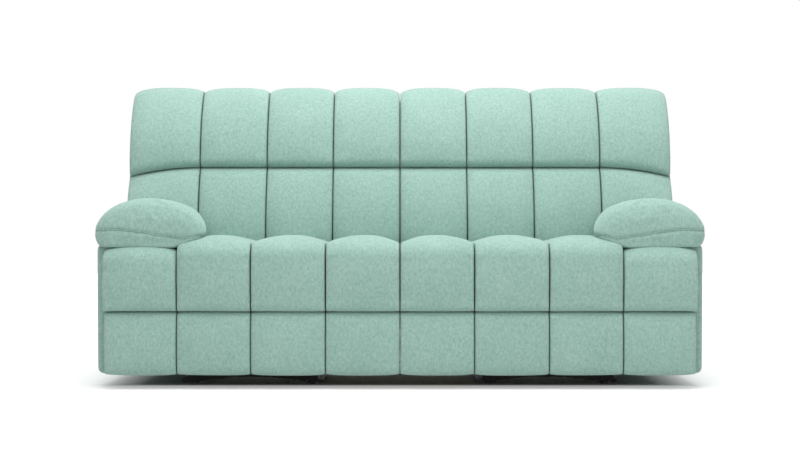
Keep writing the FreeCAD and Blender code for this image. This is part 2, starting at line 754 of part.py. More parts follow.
arm_round = value("arm_round")
arm_skin = join(
    "arm_skin",
    [
        arm_box("arm_front_box", "arm_back_y", "arm_front_y", "arm_top", "0", arm_round),
        arm_box("arm_rear_box", "arm_back_y", "arm_rear_y", "arm_rear_top", "0", arm_round),
    ],
)
inner_round = arm_round - value("shell")
arm_hollow = join(
    "arm_hollow",
    [
        arm_box("arm_front_hollow", "arm_back_y", "arm_front_y", "arm_top", "shell", inner_round),
        arm_box("arm_rear_hollow", "arm_back_y", "arm_rear_y", "arm_rear_top", "shell", inner_round),
    ],
)
cup_hole = block("cup_hole", "arm_outer_x - 2", "cup_y - 55", "cup_z - 35", "shell + 4", "110", "70")
node("arm_cover", cut("arm_cover", arm_skin, [arm_hollow, cup_hole]))

panel_y = "arm_front_y + arm_round + shell"
panel_long = "arm_back_y - arm_front_y - 2 * arm_round - 2 * shell"
panel_tall = "arm_top - arm_round - 2 - arm_low - 10"
panel_low = "arm_low + 10"
inside_x = "arm_outer_x + shell + board_thick"
inside_wide = "seat_outer_x - arm_outer_x - 2 * shell - 2 * board_thick"
inner_panel_x = "seat_outer_x - shell - board_thick"
rear_board_y = "arm_back_y - arm_round - shell - board_thick"
top_x = "arm_outer_x + shell + arm_round"
top_wide = "seat_outer_x - arm_outer_x - 2 * shell - arm_round"
top_deep = "arm_rear_y - arm_front_y - arm_round - shell - 1"
top_z = "arm_top - arm_round - 2"
thick = "board_thick"
outer_panel = block("arm_outer_panel", "arm_outer_x + shell", panel_y, panel_low, thick, panel_long, panel_tall)
inner_panel = block("arm_inner_panel", inner_panel_x, panel_y, panel_low, thick, panel_long, panel_tall)
front_board = block("arm_front_board", inside_x, panel_y, panel_low, inside_wide, thick, panel_tall)
rear_board = block("arm_rear_board", inside_x, rear_board_y, panel_low, inside_wide, thick, panel_tall)
top_board = block("arm_top_board", top_x, panel_y, top_z, top_wide, top_deep, thick)
panel_hole = block("panel_hole", "arm_outer_x", "cup_y - 58", "cup_z - 38", "40", "116", "76")
arm_boards = join("arm_boards", [outer_panel, inner_panel, front_board, rear_board, top_board])
node("arm_frame", cut("arm_frame", arm_boards, [panel_hole]))

cup_flange = block("cup_flange", "arm_outer_x - 2", "cup_y - 62", "cup_z - 42", "2", "124", "84")
cup_body = block("cup_body", "arm_outer_x", "cup_y - 54", "cup_z - 34", "30", "108", "68")
cup_cavity = block("cup_cavity", "arm_outer_x - 3", "cup_y - 50", "cup_z - 30", "31", "100", "60")


def cup_rod(name, radius, half):
    """A round bar along Y on the release lever's pivot line."""
    item = bind(doc.addObject("Part::Cylinder", name), Radius=radius, Height=f"2 * ({half})")
    item.Placement.Rotation = FreeCAD.Rotation(FreeCAD.Vector(1, 0, 0), 90)
    return place(item, "arm_outer_x + 16", f"cup_y + {half}", "cup_z + 20")


cup_bore = cup_rod("cup_bore", "lever_pin_r + run_gap", "56")
node("release_cup", cut("release_cup", join("cup_plain", [cup_flange, cup_body]), [cup_cavity, cup_bore]))

lever_pin = cup_rod("lever_pin", "lever_pin_r", "53.5")
lever_barrel = cup_rod("lever_barrel", "lever_pin_r + 3", "48")
paddle = block("lever_paddle", "arm_outer_x + 10", "cup_y - 48", "cup_z - 24", "5", "96", "44")
lip = block("lever_lip", "arm_outer_x + 4", "cup_y - 48", "cup_z - 24", "7", "96", "5")
node("release_lever", join("release_lever", [lever_pin, lever_barrel, paddle, lip]))

# Arm pillow: a loaf, its sections along Y drawn in at both ends.
pillow_top = value("pillow_top")
pillow_bed = value("arm_top") + value("soft_gap")
pillow_lip = crown + 4
pillow_left = value("arm_outer_x") + 2
pillow_right = value("pillow_inner_x")
heart_x = (pillow_left + pillow_right) / 2
heart_z = 540
peak_x = value("pillow_peak_x")


def pillow_section(y, scale):
    """Flat underside and inner lip, then round over the inner side, the top and the outer side."""
    def spot(x, z):
        return point(heart_x + (x - heart_x) * scale, y, heart_z + (z - heart_z) * scale)

    under = [
        spot(pillow_left + 24, pillow_bed),
        spot(seat_frame_x - 8, pillow_bed),
        spot(seat_frame_x + 20, pillow_lip),
        spot(pillow_right - 16, pillow_lip),
    ]
    shoulder = spot(pillow_right - 12, pillow_lip + 48)
    peak = spot(peak_x, pillow_top)
    outer = spot(pillow_left + 1, pillow_lip + 32)
    rounds = [
        Part.Arc(under[3], spot(pillow_right, pillow_lip + 23), shoulder).toShape(),
        Part.Arc(shoulder, spot(pillow_right - 72, pillow_top - 25), peak).toShape(),
        Part.Arc(peak, spot(pillow_left + 57, pillow_top - 26), outer).toShape(),
        Part.Arc(outer, spot(pillow_left + 3, pillow_bed + 20), under[0]).toShape(),
    ]
    lines = [Part.makeLine(under[index], under[index + 1]) for index in range(3)]
    return Part.Wire(lines + rounds)


seat_frame_x = value("seat_outer_x")
pillow_front = value("pillow_front_y")
pillow_back = value("pillow_back_y")
stations = [(pillow_front, 0.8), (pillow_front + 7, 0.9), (pillow_front + 22, 0.97), (pillow_front + 46, 1)]
stations += [(pillow_back - 34, 1), (pillow_back - 12, 0.96), (pillow_back, 0.88)]
pillow = Part.makeLoft([pillow_section(y, scale) for y, scale in stations], True, True)
node("arm_pillow", form("arm_pillow", pillow))

# Back frame: posts on the brackets, rails between them, and the wing's post.
post_x = LINK_A + " + plate"
inner_post_x = "2 * middle_x - (" + LINK_A + ") - plate - rail"
end_x = "seat_inner_x - shell - rail"
wing_in = "wing_x + shell"
low_end_x = inner_post_x + " + rail + plate"
timber_u = "strap_u + 2"
timber = "30"
frame_w = "(crown_back_z - hinge_z) / cos(lean * 1 deg) - 64"
rail_span = end_x + " - (" + wing_in + ")"
back_timbers = [
    leaning("back_post_outer", post_x, timber_u, "25", "rail", timber, frame_w + " - 25"),
    leaning("back_post_inner", inner_post_x, timber_u, "25", "rail", timber, frame_w + " - 25"),
    leaning("back_post_end", end_x, timber_u, "60", "rail", timber, frame_w + " - 60"),
    leaning("back_post_wing", wing_in, timber_u, "305", "rail", timber, frame_w + " - 305"),
    leaning("back_top_rail", wing_in, timber_u, frame_w + " - rail", rail_span, timber, "rail"),
    leaning("back_wing_rail", wing_in, timber_u, "305", post_x + " - (" + wing_in + ")", timber, "rail"),
    leaning("back_low_rail", post_x, timber_u, "60", inner_post_x + " - (" + post_x + ")", timber, "rail"),
    leaning("back_low_rail_end", low_end_x, timber_u, "60", end_x + " - (" + low_end_x + ")", timber, "rail"),
]
node("back_frame", join("back_frame", back_timbers))

straps = []
strap_places = ["(wing_x + back_x) / 2 - 8", "middle_x - 120", "middle_x - 20", "middle_x + 80"]
strap_places += ["seat_inner_x - 254", "seat_inner_x - 164", "seat_inner_x - 84"]
for index, x in enumerate(strap_places):
    strap_w = "307" if index == 0 else "62"
    strap_long = f"{frame_w} - {strap_w} - 2"
    straps.append(leaning(f"back_strap_{index}", x, "strap_u", strap_w, "40", "2", strap_long))
node("back_straps", group("back_straps", straps))

bracket_strip = leaning("back_bracket_strip", LINK_A, "0 - 13", "0", "plate", "26", "180")
bracket_eye = eye("back_bracket_eye", LINK_A, "hinge_y", "hinge_z", "16")
bracket_hole = hole("back_bracket_hole", LINK_A, "hinge_y", "hinge_z", "pin_r + 1 + run_gap")
bracket_side = cut("back_bracket", join("back_bracket_plain", [bracket_strip, bracket_eye]), [bracket_hole])
node("back_brackets", both_sides("back_brackets", bracket_side))

# Outside back: a shell open at the front, wide at the wing and narrow between the arms.
lean_angle = math.radians(value("lean"))
hinge_y = value("hinge_y")
hinge_z = value("hinge_z")


def on_lean(u, z):
    """Y of the leaning plane u behind the hinge line, at height z."""
    along = (z - hinge_z + u * math.sin(lean_angle)) / math.cos(lean_angle)
    return hinge_y + u * math.cos(lean_angle) + along * math.sin(lean_angle)


rear_low_y = value("back_rear_low_y")
rear_top_y = value("back_rear_top_y")
flap_low = value("back_flap_low")
wing_low = value("wing_low")
back_top = value("crown_back_z")
skin = value("shell")
cover_u = value("strap_u") + 0.5


def rear_y(z):
    """Y of the outside back at height z."""
    return rear_low_y + (rear_top_y - rear_low_y) * (z - flap_low) / (back_top - 50 - flap_low)


def slab(x1, x2, corners):
    """A profile across X, drawn as (y, z) corners, carried from x1 to x2."""
    spots = [point(x1, *corner) for corner in corners]
    face = Part.Face(Part.makePolygon(spots + spots[:1]))
    return face.extrude(FreeCAD.Vector(x2 - x1, 0, 0))


def back_corners(low, inset):
    front_u = cover_u - (1 if inset else 0)
    top = back_top - 22
    return [
        (on_lean(front_u, low + inset), low + inset),
        (on_lean(front_u, top - inset), top - inset),
        (rear_y(top) - 22 - inset, top - inset),
        (rear_y(top) - 6 - inset, top - 8 - inset),
        (rear_y(top - 26) - inset, top - 26 - inset),
        (rear_y(low + inset) - inset, low + inset),
    ]


def mid_corners(low, high, inset):
    front_u = cover_u - (1 if inset else 0)
    return [
        (on_lean(front_u, low), low),
        (on_lean(front_u, high), high),
        (rear_y(high) - inset, high),
        (rear_y(low) - inset, low),
    ]


end = value("seat_inner_x")
wing = value("wing_x")
narrow = value("back_x")
back_low = 300
flap = [
    (rear_y(flap_low) - skin, flap_low),
    (rear_y(back_low + 1) - skin, back_low + 1),
    (rear_y(back_low + 1), back_low + 1),
    (rear_y(flap_low), flap_low),
]
upper = slab(wing, end, back_corners(wing_low, 0))
rounded_edges = [
    edge
    for edge in upper.Edges
    if abs(edge.CenterOfMass.x - wing) < 0.01
    and edge.CenterOfMass.y > on_lean(cover_u, edge.CenterOfMass.z) + 3
    and edge.CenterOfMass.z > wing_low + 1
]
upper = upper.makeFillet(value("shell") * 2.5, rounded_edges)
outside = upper.fuse([slab(narrow, end, mid_corners(back_low, wing_low + 1, 0)), slab(narrow, end, flap)])
inside = slab(wing + skin, end - skin, back_corners(wing_low, skin)).fuse(
    slab(narrow + skin, end - skin, mid_corners(back_low - 5, wing_low + skin + 1, skin))
)
node("back_cover", form("back_cover", outside.cut(inside).removeSplitter()))

# Back cushion: the wing column and three columns that run down behind the seat.
back_seams = [wing + 3, narrow + 1, value("back_seam_b"), value("back_seam_c"), -value("half_gap")]
pad_u = value("strap_u") - value("soft_gap")


def back_profile(index, x, d):
    is_wing = index == 0
    low = wing_low + 1 if is_wing else back_low + 2
    share = max(0, (back_seams[1] - x) / (back_seams[1] - back_seams[0]))
    fold = (value("crease_y") + 0.5 * d, value("crease_z") - value("crease_drop") * share**2)
    knee = (value("knee_y") + d, wing_low + 8 if is_wing else value("knee_up"))
    foot = (knee[0] + 3, low) if is_wing else (knee[0] + 7 - 0.5 * d, low)
    lumbar = (value("lumbar_y") + d, value("lumbar_z"))
    head = (value("head_row_y") + d, value("head_row_z"))
    brow = (value("brow_y") + 0.7 * d, back_top - value("brow_drop") - 0.6 * d)
    rear_high = back_top - value("back_roll") - 0.5 * d
    crest = (value("crown_back_y"), back_top - d)
    moves = [foot, knee, (lumbar, fold), (head, brow), (crest, (on_lean(pad_u, rear_high), rear_high))]
    return outline(x, (on_lean(pad_u, low), low), moves)


node("back_cushion", form("back_cushion", padded_columns(back_profile, back_seams, seam_depth)))

# The tie that joins the two bases.
tie_y = "bar_back_y - plate - 19"
tie_end = "middle_x + web_offset - 30"
tie = block("tie_bar", tie_end, tie_y, "bar_top", f"0 - 2 * ({tie_end})", "20", "plate")
tie_holes = []
tie_bolts = []
for index, centre in enumerate((f"{tie_end} + 14", f"0 - ({tie_end}) - 14")):
    tie_holes.append(post(f"tie_hole_{index}", centre, f"{tie_y} + 9", "bar_top - 2", "4.1", "plate + 4"))
    shank = post(f"tie_shank_{index}", centre, f"{tie_y} + 9", "bar_top", "4", "plate")
    head = bind(doc.addObject("Part::Prism", f"tie_head_{index}"), Circumradius="7.5", Height="5")
    head.Polygon = 6
    place(head, centre, f"{tie_y} + 9", "bar_top + plate")
    tie_bolts.append(join(f"tie_bolt_{index}", [shank, head]))
tie_node = cut("tie_bar_drilled", tie, tie_holes)
tie_node.Label = "tie_bar"
NODES["tie_bar"] = tie_node
bolts = group("tie_bolts", tie_bolts)
bolts.Label = "tie_bolts"
NODES["tie_bolts"] = bolts

doc.recompute()
for item in doc.Objects:
    if "Invalid" in item.State or "Error" in item.State:
        raise RuntimeError(f"{item.Label} did not build: {item.State}")
os.makedirs("parts", exist_ok=True)
for label, item in NODES.items():
    shape = item.Shape
    if shape.isNull() or not shape.isValid() or not shape.Solids:
        raise RuntimeError(f"{label} has no valid solid")
    if min(solid.Volume for solid in shape.Solids) <= 0:
        raise RuntimeError(f"{label} has an inside-out solid")
    shape.exportStep(f"parts/{label}.step")
print(len(NODES), "pieces written")
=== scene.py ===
# %% [markdown]
# # A two-seat reclining sofa in soft green chenille
# The steel linkage, timber and springs come ready made from the CAD model, which is called the frame here.
# This script dresses that frame: it sews the cushions, covers the arms and the outside backs, gives every
# piece its finish, and sets up a pale studio. Each cell makes one piece or finish and prints what it made.

# %% Open the frame
import bmesh
import bpy
import json
import math
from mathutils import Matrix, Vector, noise


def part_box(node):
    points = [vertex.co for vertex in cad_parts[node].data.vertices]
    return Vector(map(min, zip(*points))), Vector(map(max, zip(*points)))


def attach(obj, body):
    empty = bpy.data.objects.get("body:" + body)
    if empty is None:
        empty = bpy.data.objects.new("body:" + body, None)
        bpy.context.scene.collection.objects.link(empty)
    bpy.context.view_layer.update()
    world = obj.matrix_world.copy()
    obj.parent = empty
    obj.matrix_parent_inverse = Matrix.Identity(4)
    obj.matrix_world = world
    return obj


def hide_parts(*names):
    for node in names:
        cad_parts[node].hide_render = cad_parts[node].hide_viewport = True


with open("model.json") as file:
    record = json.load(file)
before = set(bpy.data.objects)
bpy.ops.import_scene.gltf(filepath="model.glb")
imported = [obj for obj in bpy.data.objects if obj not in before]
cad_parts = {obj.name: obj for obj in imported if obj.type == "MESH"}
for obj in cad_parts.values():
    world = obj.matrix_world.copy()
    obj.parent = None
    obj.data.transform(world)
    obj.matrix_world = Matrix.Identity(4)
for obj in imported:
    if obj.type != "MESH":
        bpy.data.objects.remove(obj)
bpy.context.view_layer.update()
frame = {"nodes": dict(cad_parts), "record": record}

# %% [markdown]
# Sizes come from the frame wherever the frame has them. Millimetres are easier to read for upholstery, so a
# short name turns them into Blender's metres. The outermost cushions stand a few millimetres proud of their
# solids, as filled cloth does. Both units' covers end just short of the middle, so that a thin dark line
# shows between them.

# %% Shared sizes
MM = 0.001
seat_low, seat_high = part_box("left_seat_cushion")
foot_low, foot_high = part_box("left_footrest_pad")
back_low, back_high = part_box("left_back_cushion")
pillow_low, pillow_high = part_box("left_arm_pillow")
arm_low, arm_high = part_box("left_arm_cover")
shell_low, shell_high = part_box("left_back_cover")
middle = -0.05 * MM
SEAT_PROUD, FOOT_PROUD, BACK_PROUD = 4 * MM, 5 * MM, 8 * MM
seat_seams = [seat_low[0] - SEAT_PROUD, -731.4 * MM, -489 * MM, -244 * MM, middle]
back_seams = [back_low[0] - BACK_PROUD, -725 * MM, -482 * MM, -242 * MM, middle]
print("seat columns", [round((b - a) / MM) for a, b in zip(seat_seams, seat_seams[1:])])

# %% [markdown]
# ## Finishes
# A material's colour and roughness are sums on paper: pale times this, plus that. Written as Python
# expressions they stay readable, so a small class wraps a socket and turns `+`, `-`, `*` into Math nodes. One
# method, `node`, makes any other node from its type, its settings and its inputs.

# %% Shader maths
class Value:
    """A socket in a material's node tree that can be used in sums."""

    def __init__(self, sheet, socket):
        self.sheet = sheet
        self.socket = socket

    def _math(self, operation, first, second):
        return self.sheet.node("ShaderNodeMath", {"operation": operation}, {0: first, 1: second})

    def __add__(self, other):
        return self._math("ADD", self, other)

    def __sub__(self, other):
        return self._math("SUBTRACT", self, other)

    def __rsub__(self, other):
        return self._math("SUBTRACT", other, self)

    def __mul__(self, other):
        return self._math("MULTIPLY", self, other)

    __radd__ = __add__
    __rmul__ = __mul__


class Finish:
    """A named material, with its node tree and its Principled shader."""

    def __init__(self, name):
        self.material = bpy.data.materials.new(name)
        self.material.use_nodes = True
        self.tree = self.material.node_tree
        self.shader = self.tree.nodes["Principled BSDF"]

    def node(self, kind, settings=None, inputs=None, output=0):
        made = self.tree.nodes.new(kind)
        for key, setting in (settings or {}).items():
            if key == "stops":
                ramp = made.color_ramp
                while len(ramp.elements) < len(setting):
                    ramp.elements.new(0.5)
                for element, (place, colour) in zip(ramp.elements, setting):
                    element.position = place
                    element.color = colour
            else:
                setattr(made, key, setting)
        for key, value in (inputs or {}).items():
            self.feed(made.inputs[key], value)
        return Value(self, made.outputs[output])

    def feed(self, socket, value):
        if isinstance(value, Value):
            self.tree.links.new(value.socket, socket)
        else:
            socket.default_value = value

    def set(self, **inputs):
        for key, value in inputs.items():
            self.feed(self.shader.inputs[key.replace("_", " ")], value)

    def position(self):
        return self.node("ShaderNodeTexCoord", output="Object")

    def noise(self, scale, detail, roughness, at=None):
        where = at or self.position()
        inputs = {"Vector": where, "Scale": scale, "Detail": detail, "Roughness": roughness}
        return self.node("ShaderNodeTexNoise", {}, inputs, output="Fac")

    def mix(self, factor, first, second):
        settings = {"data_type": "RGBA"}
        return self.node("ShaderNodeMix", settings, {0: factor, 6: first, 7: second}, output=2)

    def stretch(self, value, low, high):
        return self.node("ShaderNodeMapRange", {}, {0: value, 1: low, 2: high})

    def bump(self, height, distance, strength):
        inputs = {"Height": height, "Distance": distance, "Strength": strength}
        return self.node("ShaderNodeBump", {}, inputs)


print("shader maths ready")

# %% [markdown]
# ### Green chenille
# The cover is a short, soft pile. It has no sheen lines, but its tufts catch the light at different heights,
# so the green breaks up into fine flecks a few millimetres long, with broad, faint clouds where hands and
# packing have brushed the pile. Three noises do it: clouds, tufts and fibres. The two finest also lift the
# surface. Roughness stays high everywhere. A seam is a groove where shade falls, so an attribute called
# "fold", which the cushion maker writes, paints that shade into the cloth's colour there.

# %% Chenille
def chenille(name, shade=1.0):
    cloth = Finish(name)
    place = cloth.position()
    upright = cloth.node("ShaderNodeMapping", {}, {"Vector": place, "Scale": (1.0, 1.0, 0.6)})
    clouds = cloth.stretch(cloth.noise(8.0, 2.0, 0.5, place), 0.3, 0.7)
    tufts = cloth.stretch(cloth.noise(135.0, 3.0, 0.72, upright), 0.3, 0.7)
    fibres = cloth.stretch(cloth.noise(520.0, 2.0, 0.7, upright), 0.28, 0.72)
    fold = cloth.node("ShaderNodeAttribute", {"attribute_name": "fold"}, output="Fac")
    deep = [channel * shade for channel in (0.185, 0.325, 0.272)] + [1.0]
    plain = [channel * shade for channel in (0.315, 0.480, 0.422)] + [1.0]
    pale = [channel * shade for channel in (0.455, 0.620, 0.562)] + [1.0]
    shadow_green = [channel * shade for channel in (0.030, 0.066, 0.050)] + [1.0]
    pile = cloth.mix(tufts * 0.55 + fibres * 0.45, deep, plain)
    flecked = cloth.mix((clouds * 0.2 + tufts * 0.5) * fibres, pile, pale)
    # Painted shade: the cloth turns towards shadow_green where the fold attribute marks a seam or crease.
    seam_shaded = cloth.mix(fold * 0.75, flecked, shadow_green)
    lifted = cloth.bump(tufts * 0.6 + fibres * 0.4, 0.0012, 0.5)
    cloth.set(Base_Color=seam_shaded, Roughness=0.84 + fibres * 0.12, Normal=lifted)
    cloth.set(Sheen_Weight=0.3, Sheen_Roughness=0.5, Sheen_Tint=(0.86, 0.95, 0.92, 1.0))
    cloth.set(Specular_IOR_Level=0.2)
    return cloth.material


upholstery = chenille("green chenille")
# The welt cord and the stitches use the same cloth at 0.86, a darker copy that paints the seam's shade onto
# them.
shaded_chenille = chenille("green chenille welt, painted shade", 0.86)
print("made", upholstery.name, "and", shaded_chenille.name)

# %% [markdown]
# ### Steel, timber and plastic
# Black enamel on pressed steel is nearly smooth, with a faint orange-peel ripple and brighter rubbed patches.
# Spring wire is bare and drawn along its length. The timber is rough sawn with a long grain. All of them read
# Object coordinates, so their patterns stay put when the mechanism moves.

# %% Enamel, wire, timber, webbing and moulded plastic
def enamel():
    paint = Finish("black enamel")
    ripple = paint.noise(260.0, 2.0, 0.5)
    scuffs = paint.stretch(paint.noise(38.0, 5.0, 0.7), 0.6, 0.72)
    colour = paint.mix(scuffs * 0.35, (0.006, 0.006, 0.0065, 1.0), (0.035, 0.035, 0.036, 1.0))
    paint.set(Base_Color=colour, Roughness=0.5 + scuffs * 0.2, Normal=paint.bump(ripple, 0.0002, 0.25))
    paint.set(Specular_IOR_Level=0.3)
    return paint.material


def spring_wire():
    wire = Finish("drawn spring wire")
    place = wire.node("ShaderNodeMapping", {}, {"Vector": wire.position(), "Scale": (60.0, 8.0, 60.0)})
    drawn = wire.noise(14.0, 3.0, 0.6, place)
    colour = wire.mix(drawn, (0.26, 0.26, 0.27, 1.0), (0.46, 0.46, 0.47, 1.0))
    wire.set(Base_Color=colour, Metallic=1.0, Roughness=0.3 + drawn * 0.2)
    return wire.material


def sawn_timber():
    wood = Finish("sawn timber")
    along = wood.node("ShaderNodeMapping", {}, {"Vector": wood.position(), "Scale": (3.0, 26.0, 26.0)})
    grain = wood.noise(4.0, 6.0, 0.65, along)
    saw = wood.noise(300.0, 2.0, 0.6, along)
    tone = wood.node(
        "ShaderNodeValToRGB",
        {"stops": [(0.3, (0.33, 0.205, 0.1, 1)), (0.52, (0.5, 0.335, 0.18, 1)), (0.7, (0.6, 0.43, 0.26, 1))]},
        {0: grain},
    )
    sawn = wood.bump(saw * 0.5 + grain * 0.5, 0.0005, 0.4)
    wood.set(Base_Color=tone, Roughness=0.62 + saw * 0.2, Normal=sawn)
    return wood.material


def elastic_webbing():
    web = Finish("elastic webbing")
    place = web.position()
    wave = {"Vector": place, "Scale": 180.0}
    ribs = web.node("ShaderNodeTexWave", {"bands_direction": "Z"}, wave, output="Fac")
    stripe = web.noise(420.0, 2.0, 0.5, place)
    colour = web.mix(ribs * 0.6 + stripe * 0.3, (0.016, 0.016, 0.018, 1.0), (0.055, 0.055, 0.06, 1.0))
    web.set(Base_Color=colour, Roughness=0.85, Normal=web.bump(ribs, 0.0005, 0.5))
    return web.material


def moulded_plastic():
    plastic = Finish("black moulded plastic")
    sparks = plastic.noise(900.0, 2.0, 0.5)
    wear = plastic.stretch(plastic.noise(22.0, 3.0, 0.6), 0.55, 0.75)
    colour = plastic.mix(wear * 0.4, (0.02, 0.02, 0.021, 1.0), (0.045, 0.045, 0.047, 1.0))
    plastic.set(Base_Color=colour, Roughness=0.42 + wear * 0.15, Normal=plastic.bump(sparks, 0.0002, 0.4))
    return plastic.material


finishes = {
    "mechanism_steel": enamel(),
    "spring_steel": spring_wire(),
    "frame_timber": sawn_timber(),
    "webbing": elastic_webbing(),
    "glide_plastic": moulded_plastic(),
    "upholstery": upholstery,
}
finishes["cup_plastic"] = finishes["glide_plastic"]
print("finishes", sorted(finishes))

# %% [markdown]
# ## Cushions
# A channelled cushion is one cover sewn through to a backing along its seams, with stuffing between. Each
# column between two seams is therefore a fat tube: full and nearly flat across its middle, and turning in
# sharply at the stitches. The tube's profile is drawn once, as lines and arcs in millimetres, and swept
# across the column while a rounded curve draws it in at both ends. Cloth simulation then plumps the cover.

# %% Profiles of lines and arcs
def arc_points(start, through, end, count):
    """Points of the circle arc from start through a middle point to end."""
    (ax, ay), (bx, by), (cx, cy) = start, through, end
    turn = 2 * (ax * (by - cy) + bx * (cy - ay) + cx * (ay - by))
    a2, b2, c2 = ax * ax + ay * ay, bx * bx + by * by, cx * cx + cy * cy
    ux = (a2 * (by - cy) + b2 * (cy - ay) + c2 * (ay - by)) / turn
    uy = (a2 * (cx - bx) + b2 * (ax - cx) + c2 * (bx - ax)) / turn
    radius = math.hypot(ax - ux, ay - uy)
    first = math.atan2(ay - uy, ax - ux)
    mid = math.atan2(by - uy, bx - ux)
    last = math.atan2(cy - uy, cx - ux)
    sweep = (last - first) % math.tau
    if (mid - first) % math.tau > sweep:
        sweep -= math.tau
    angles = [first + sweep * step / count for step in range(1, count + 1)]
    return [(ux + radius * math.cos(a), uy + radius * math.sin(a)) for a in angles]


def trace(start, moves):
    """A closed outline. A move is (count, held, end) for a line or (count, held, through, end) for an arc.

    Each point comes with a flag that says whether the cover is held there, by the frame or by a seam.
    """
    points = []
    here = start
    for count, held, *stops in moves:
        if len(stops) == 2:
            run = arc_points(here, stops[0], stops[1], count)
        else:
            shares = [step / count for step in range(1, count + 1)]
            run = [tuple(a + (b - a) * share for a, b in zip(here, stops[0])) for share in shares]
        points += [(spot, held) for spot in run]
        here = stops[-1]
    return points


def draw_in(t, depth, sharp=2.7):
    """How far the cover sits below its crown at t, from -1 at one seam to 1 at the other."""
    return depth * (1 - math.sqrt(max(0.0, 1 - abs(t) ** sharp)))


print("an arc of a 30 mm round has", len(arc_points((0, 30), (21.2, 21.2), (30, 0), 8)), "points")

# %% [markdown]
# The column becomes a grid of faces: around the profile one way, across the column the other. Stations lie
# closer together near the seams, where the cover turns fastest. Each end is closed by a flat wall of cloth,
# which is the sewn edge that touches the next column. The points that the needle or the frame holds go into
# a vertex group, and the simulation leaves those where they are.

# %% Columns of one cushion as a single mesh
HELD_NEAR_SEAM = 1.5 * MM


def column_mesh(name, seams, profile, depths, stations=26):
    """All columns of a cushion. profile(index, x, inset) gives an outline in millimetres across X."""
    verts, faces, held_points, marks = [], [], [], []
    for index, (left, right) in enumerate(zip(seams, seams[1:])):
        first = len(verts)
        for station in range(stations + 1):
            even = 2 * station / stations - 1
            t = 0.35 * even + 0.65 * math.sin(math.pi / 2 * even)
            inset = draw_in(t, depths[index][0 if t < 0 else 1])
            x = (left + right) / 2 + t * (right - left) / 2
            ring = profile(index, x / MM, inset)
            seam_near = min(x - left, right - x)
            for (y, z), held in ring:
                if held or seam_near < HELD_NEAR_SEAM:
                    held_points.append(len(verts))
                verts.append((x, y * MM, z * MM))
                marks.append((seam_near, held, index))
        size = len(ring)
        for station in range(stations):
            for spot in range(size):
                a = first + station * size + spot
                b = first + station * size + (spot + 1) % size
                faces.append((a, b, b + size, a + size))
        faces.append(tuple(range(first + size - 1, first - 1, -1)))
        faces.append(tuple(range(first + stations * size, first + (stations + 1) * size)))
    made = closed_piece(name, verts, faces)
    made.vertex_groups.new(name="held").add(held_points, 1.0, "REPLACE")
    # Painted shade: points near a seam get darker cloth through the fold attribute.
    write_painted_shade(made.data, [in_fold(near) for near, _, _ in marks])
    return made, marks


def closed_piece(name, verts, faces):
    """A new object from points in metres, with its faces turned outwards."""
    mesh = bpy.data.meshes.new(name)
    mesh.from_pydata(verts, [], faces)
    outward(mesh)
    return add_object(name, mesh)


def add_object(name, data):
    """Puts a mesh, a lamp or a camera into the scene."""
    made = bpy.data.objects.new(name, data)
    bpy.context.scene.collection.objects.link(made)
    return made


def in_fold(distance, reach=2.2 * MM):
    """1 in a seam, and next to nothing a few millimetres away from it."""
    return math.exp(-((distance / reach) ** 2))


def write_painted_shade(mesh, shares):
    """Writes how deep in a fold each point lies, from 0 to 1, as the fold attribute that paints shade into
    the cloth.
    """
    fold = mesh.attributes.get("fold") or mesh.attributes.new("fold", "FLOAT", "POINT")
    fold.data.foreach_set("value", shares)


def outward(mesh):
    """Turns every face of a closed shape outwards."""
    work = bmesh.new()
    work.from_mesh(mesh)
    bmesh.ops.recalc_face_normals(work, faces=work.faces)
    work.to_mesh(mesh)
    work.free()


print("column maker ready")

# %% [markdown]
# ### Stuffing
# Fibre stuffing pushes on the cover evenly, which is what cloth pressure does. Gravity is off, twenty frames
# are enough, and a cap stops any point from moving further than real stuffing would push it. Afterwards the
# cloth near each seam gets the small puckers that a stitch pulls into a full cover, from a fixed noise.

# %% Stuff, pucker and finish a cover
def stuff(made, pressure, cap, frames=20):
    """Inflates a cover between the points that are held, and returns the furthest that a point moved."""
    scene = bpy.context.scene
    cloth = made.modifiers.new("stuffing", "CLOTH")
    cloth.settings.vertex_group_mass = "held"
    cloth.settings.quality = 4
    cloth.settings.mass = 0.4
    cloth.settings.tension_stiffness = 12
    cloth.settings.compression_stiffness = 12
    cloth.settings.bending_stiffness = 2.5
    cloth.settings.use_pressure = True
    cloth.settings.uniform_pressure_force = pressure
    cloth.settings.effector_weights.gravity = 0
    cloth.collision_settings.use_collision = False
    cloth.point_cache.frame_start = 1
    cloth.point_cache.frame_end = frames
    for number in range(1, frames + 1):
        scene.frame_set(number)
    shaped = made.evaluated_get(bpy.context.evaluated_depsgraph_get())
    furthest = 0.0
    for vertex, moved in zip(made.data.vertices, shaped.data.vertices):
        step = moved.co - vertex.co
        furthest = max(furthest, step.length)
        if step.length > cap:
            step *= cap / step.length
        vertex.co = vertex.co + step
    made.modifiers.remove(cloth)
    scene.frame_set(1)
    return furthest


def pucker(made, marks, height=1.6 * MM, reach=34 * MM, seed=0.0):
    """Small folds that start at the seams and run square to them."""
    normals = [vertex.normal.copy() for vertex in made.data.vertices]
    for vertex, normal, (seam_near, held, index) in zip(made.data.vertices, normals, marks):
        if held:
            continue
        y, z = vertex.co.y, vertex.co.z
        along = noise.noise(Vector((index * 3.1 + seed, y * 34, z * 34)))
        drift = noise.noise(Vector((vertex.co.x * 5 + seed, y * 7, z * 7)))
        near = math.exp(-seam_near / reach) * min(1.0, seam_near / (5 * MM))
        lift = along * near * height + drift * 1.2 * MM * min(1, seam_near / reach)
        vertex.co = vertex.co + normal * lift


def finish_cover(made, material, levels=1):
    """Smooth shading, the finish, and subdivision at the given levels, none when levels is 0."""
    made.vertex_groups.clear()
    made.data.materials.append(material)
    made.data.polygons.foreach_set("use_smooth", [True] * len(made.data.polygons))
    if levels:
        smooth = made.modifiers.new("smooth", "SUBSURF")
        smooth.levels = smooth.render_levels = levels
        smooth.use_limit_surface = False
    made.data.update()


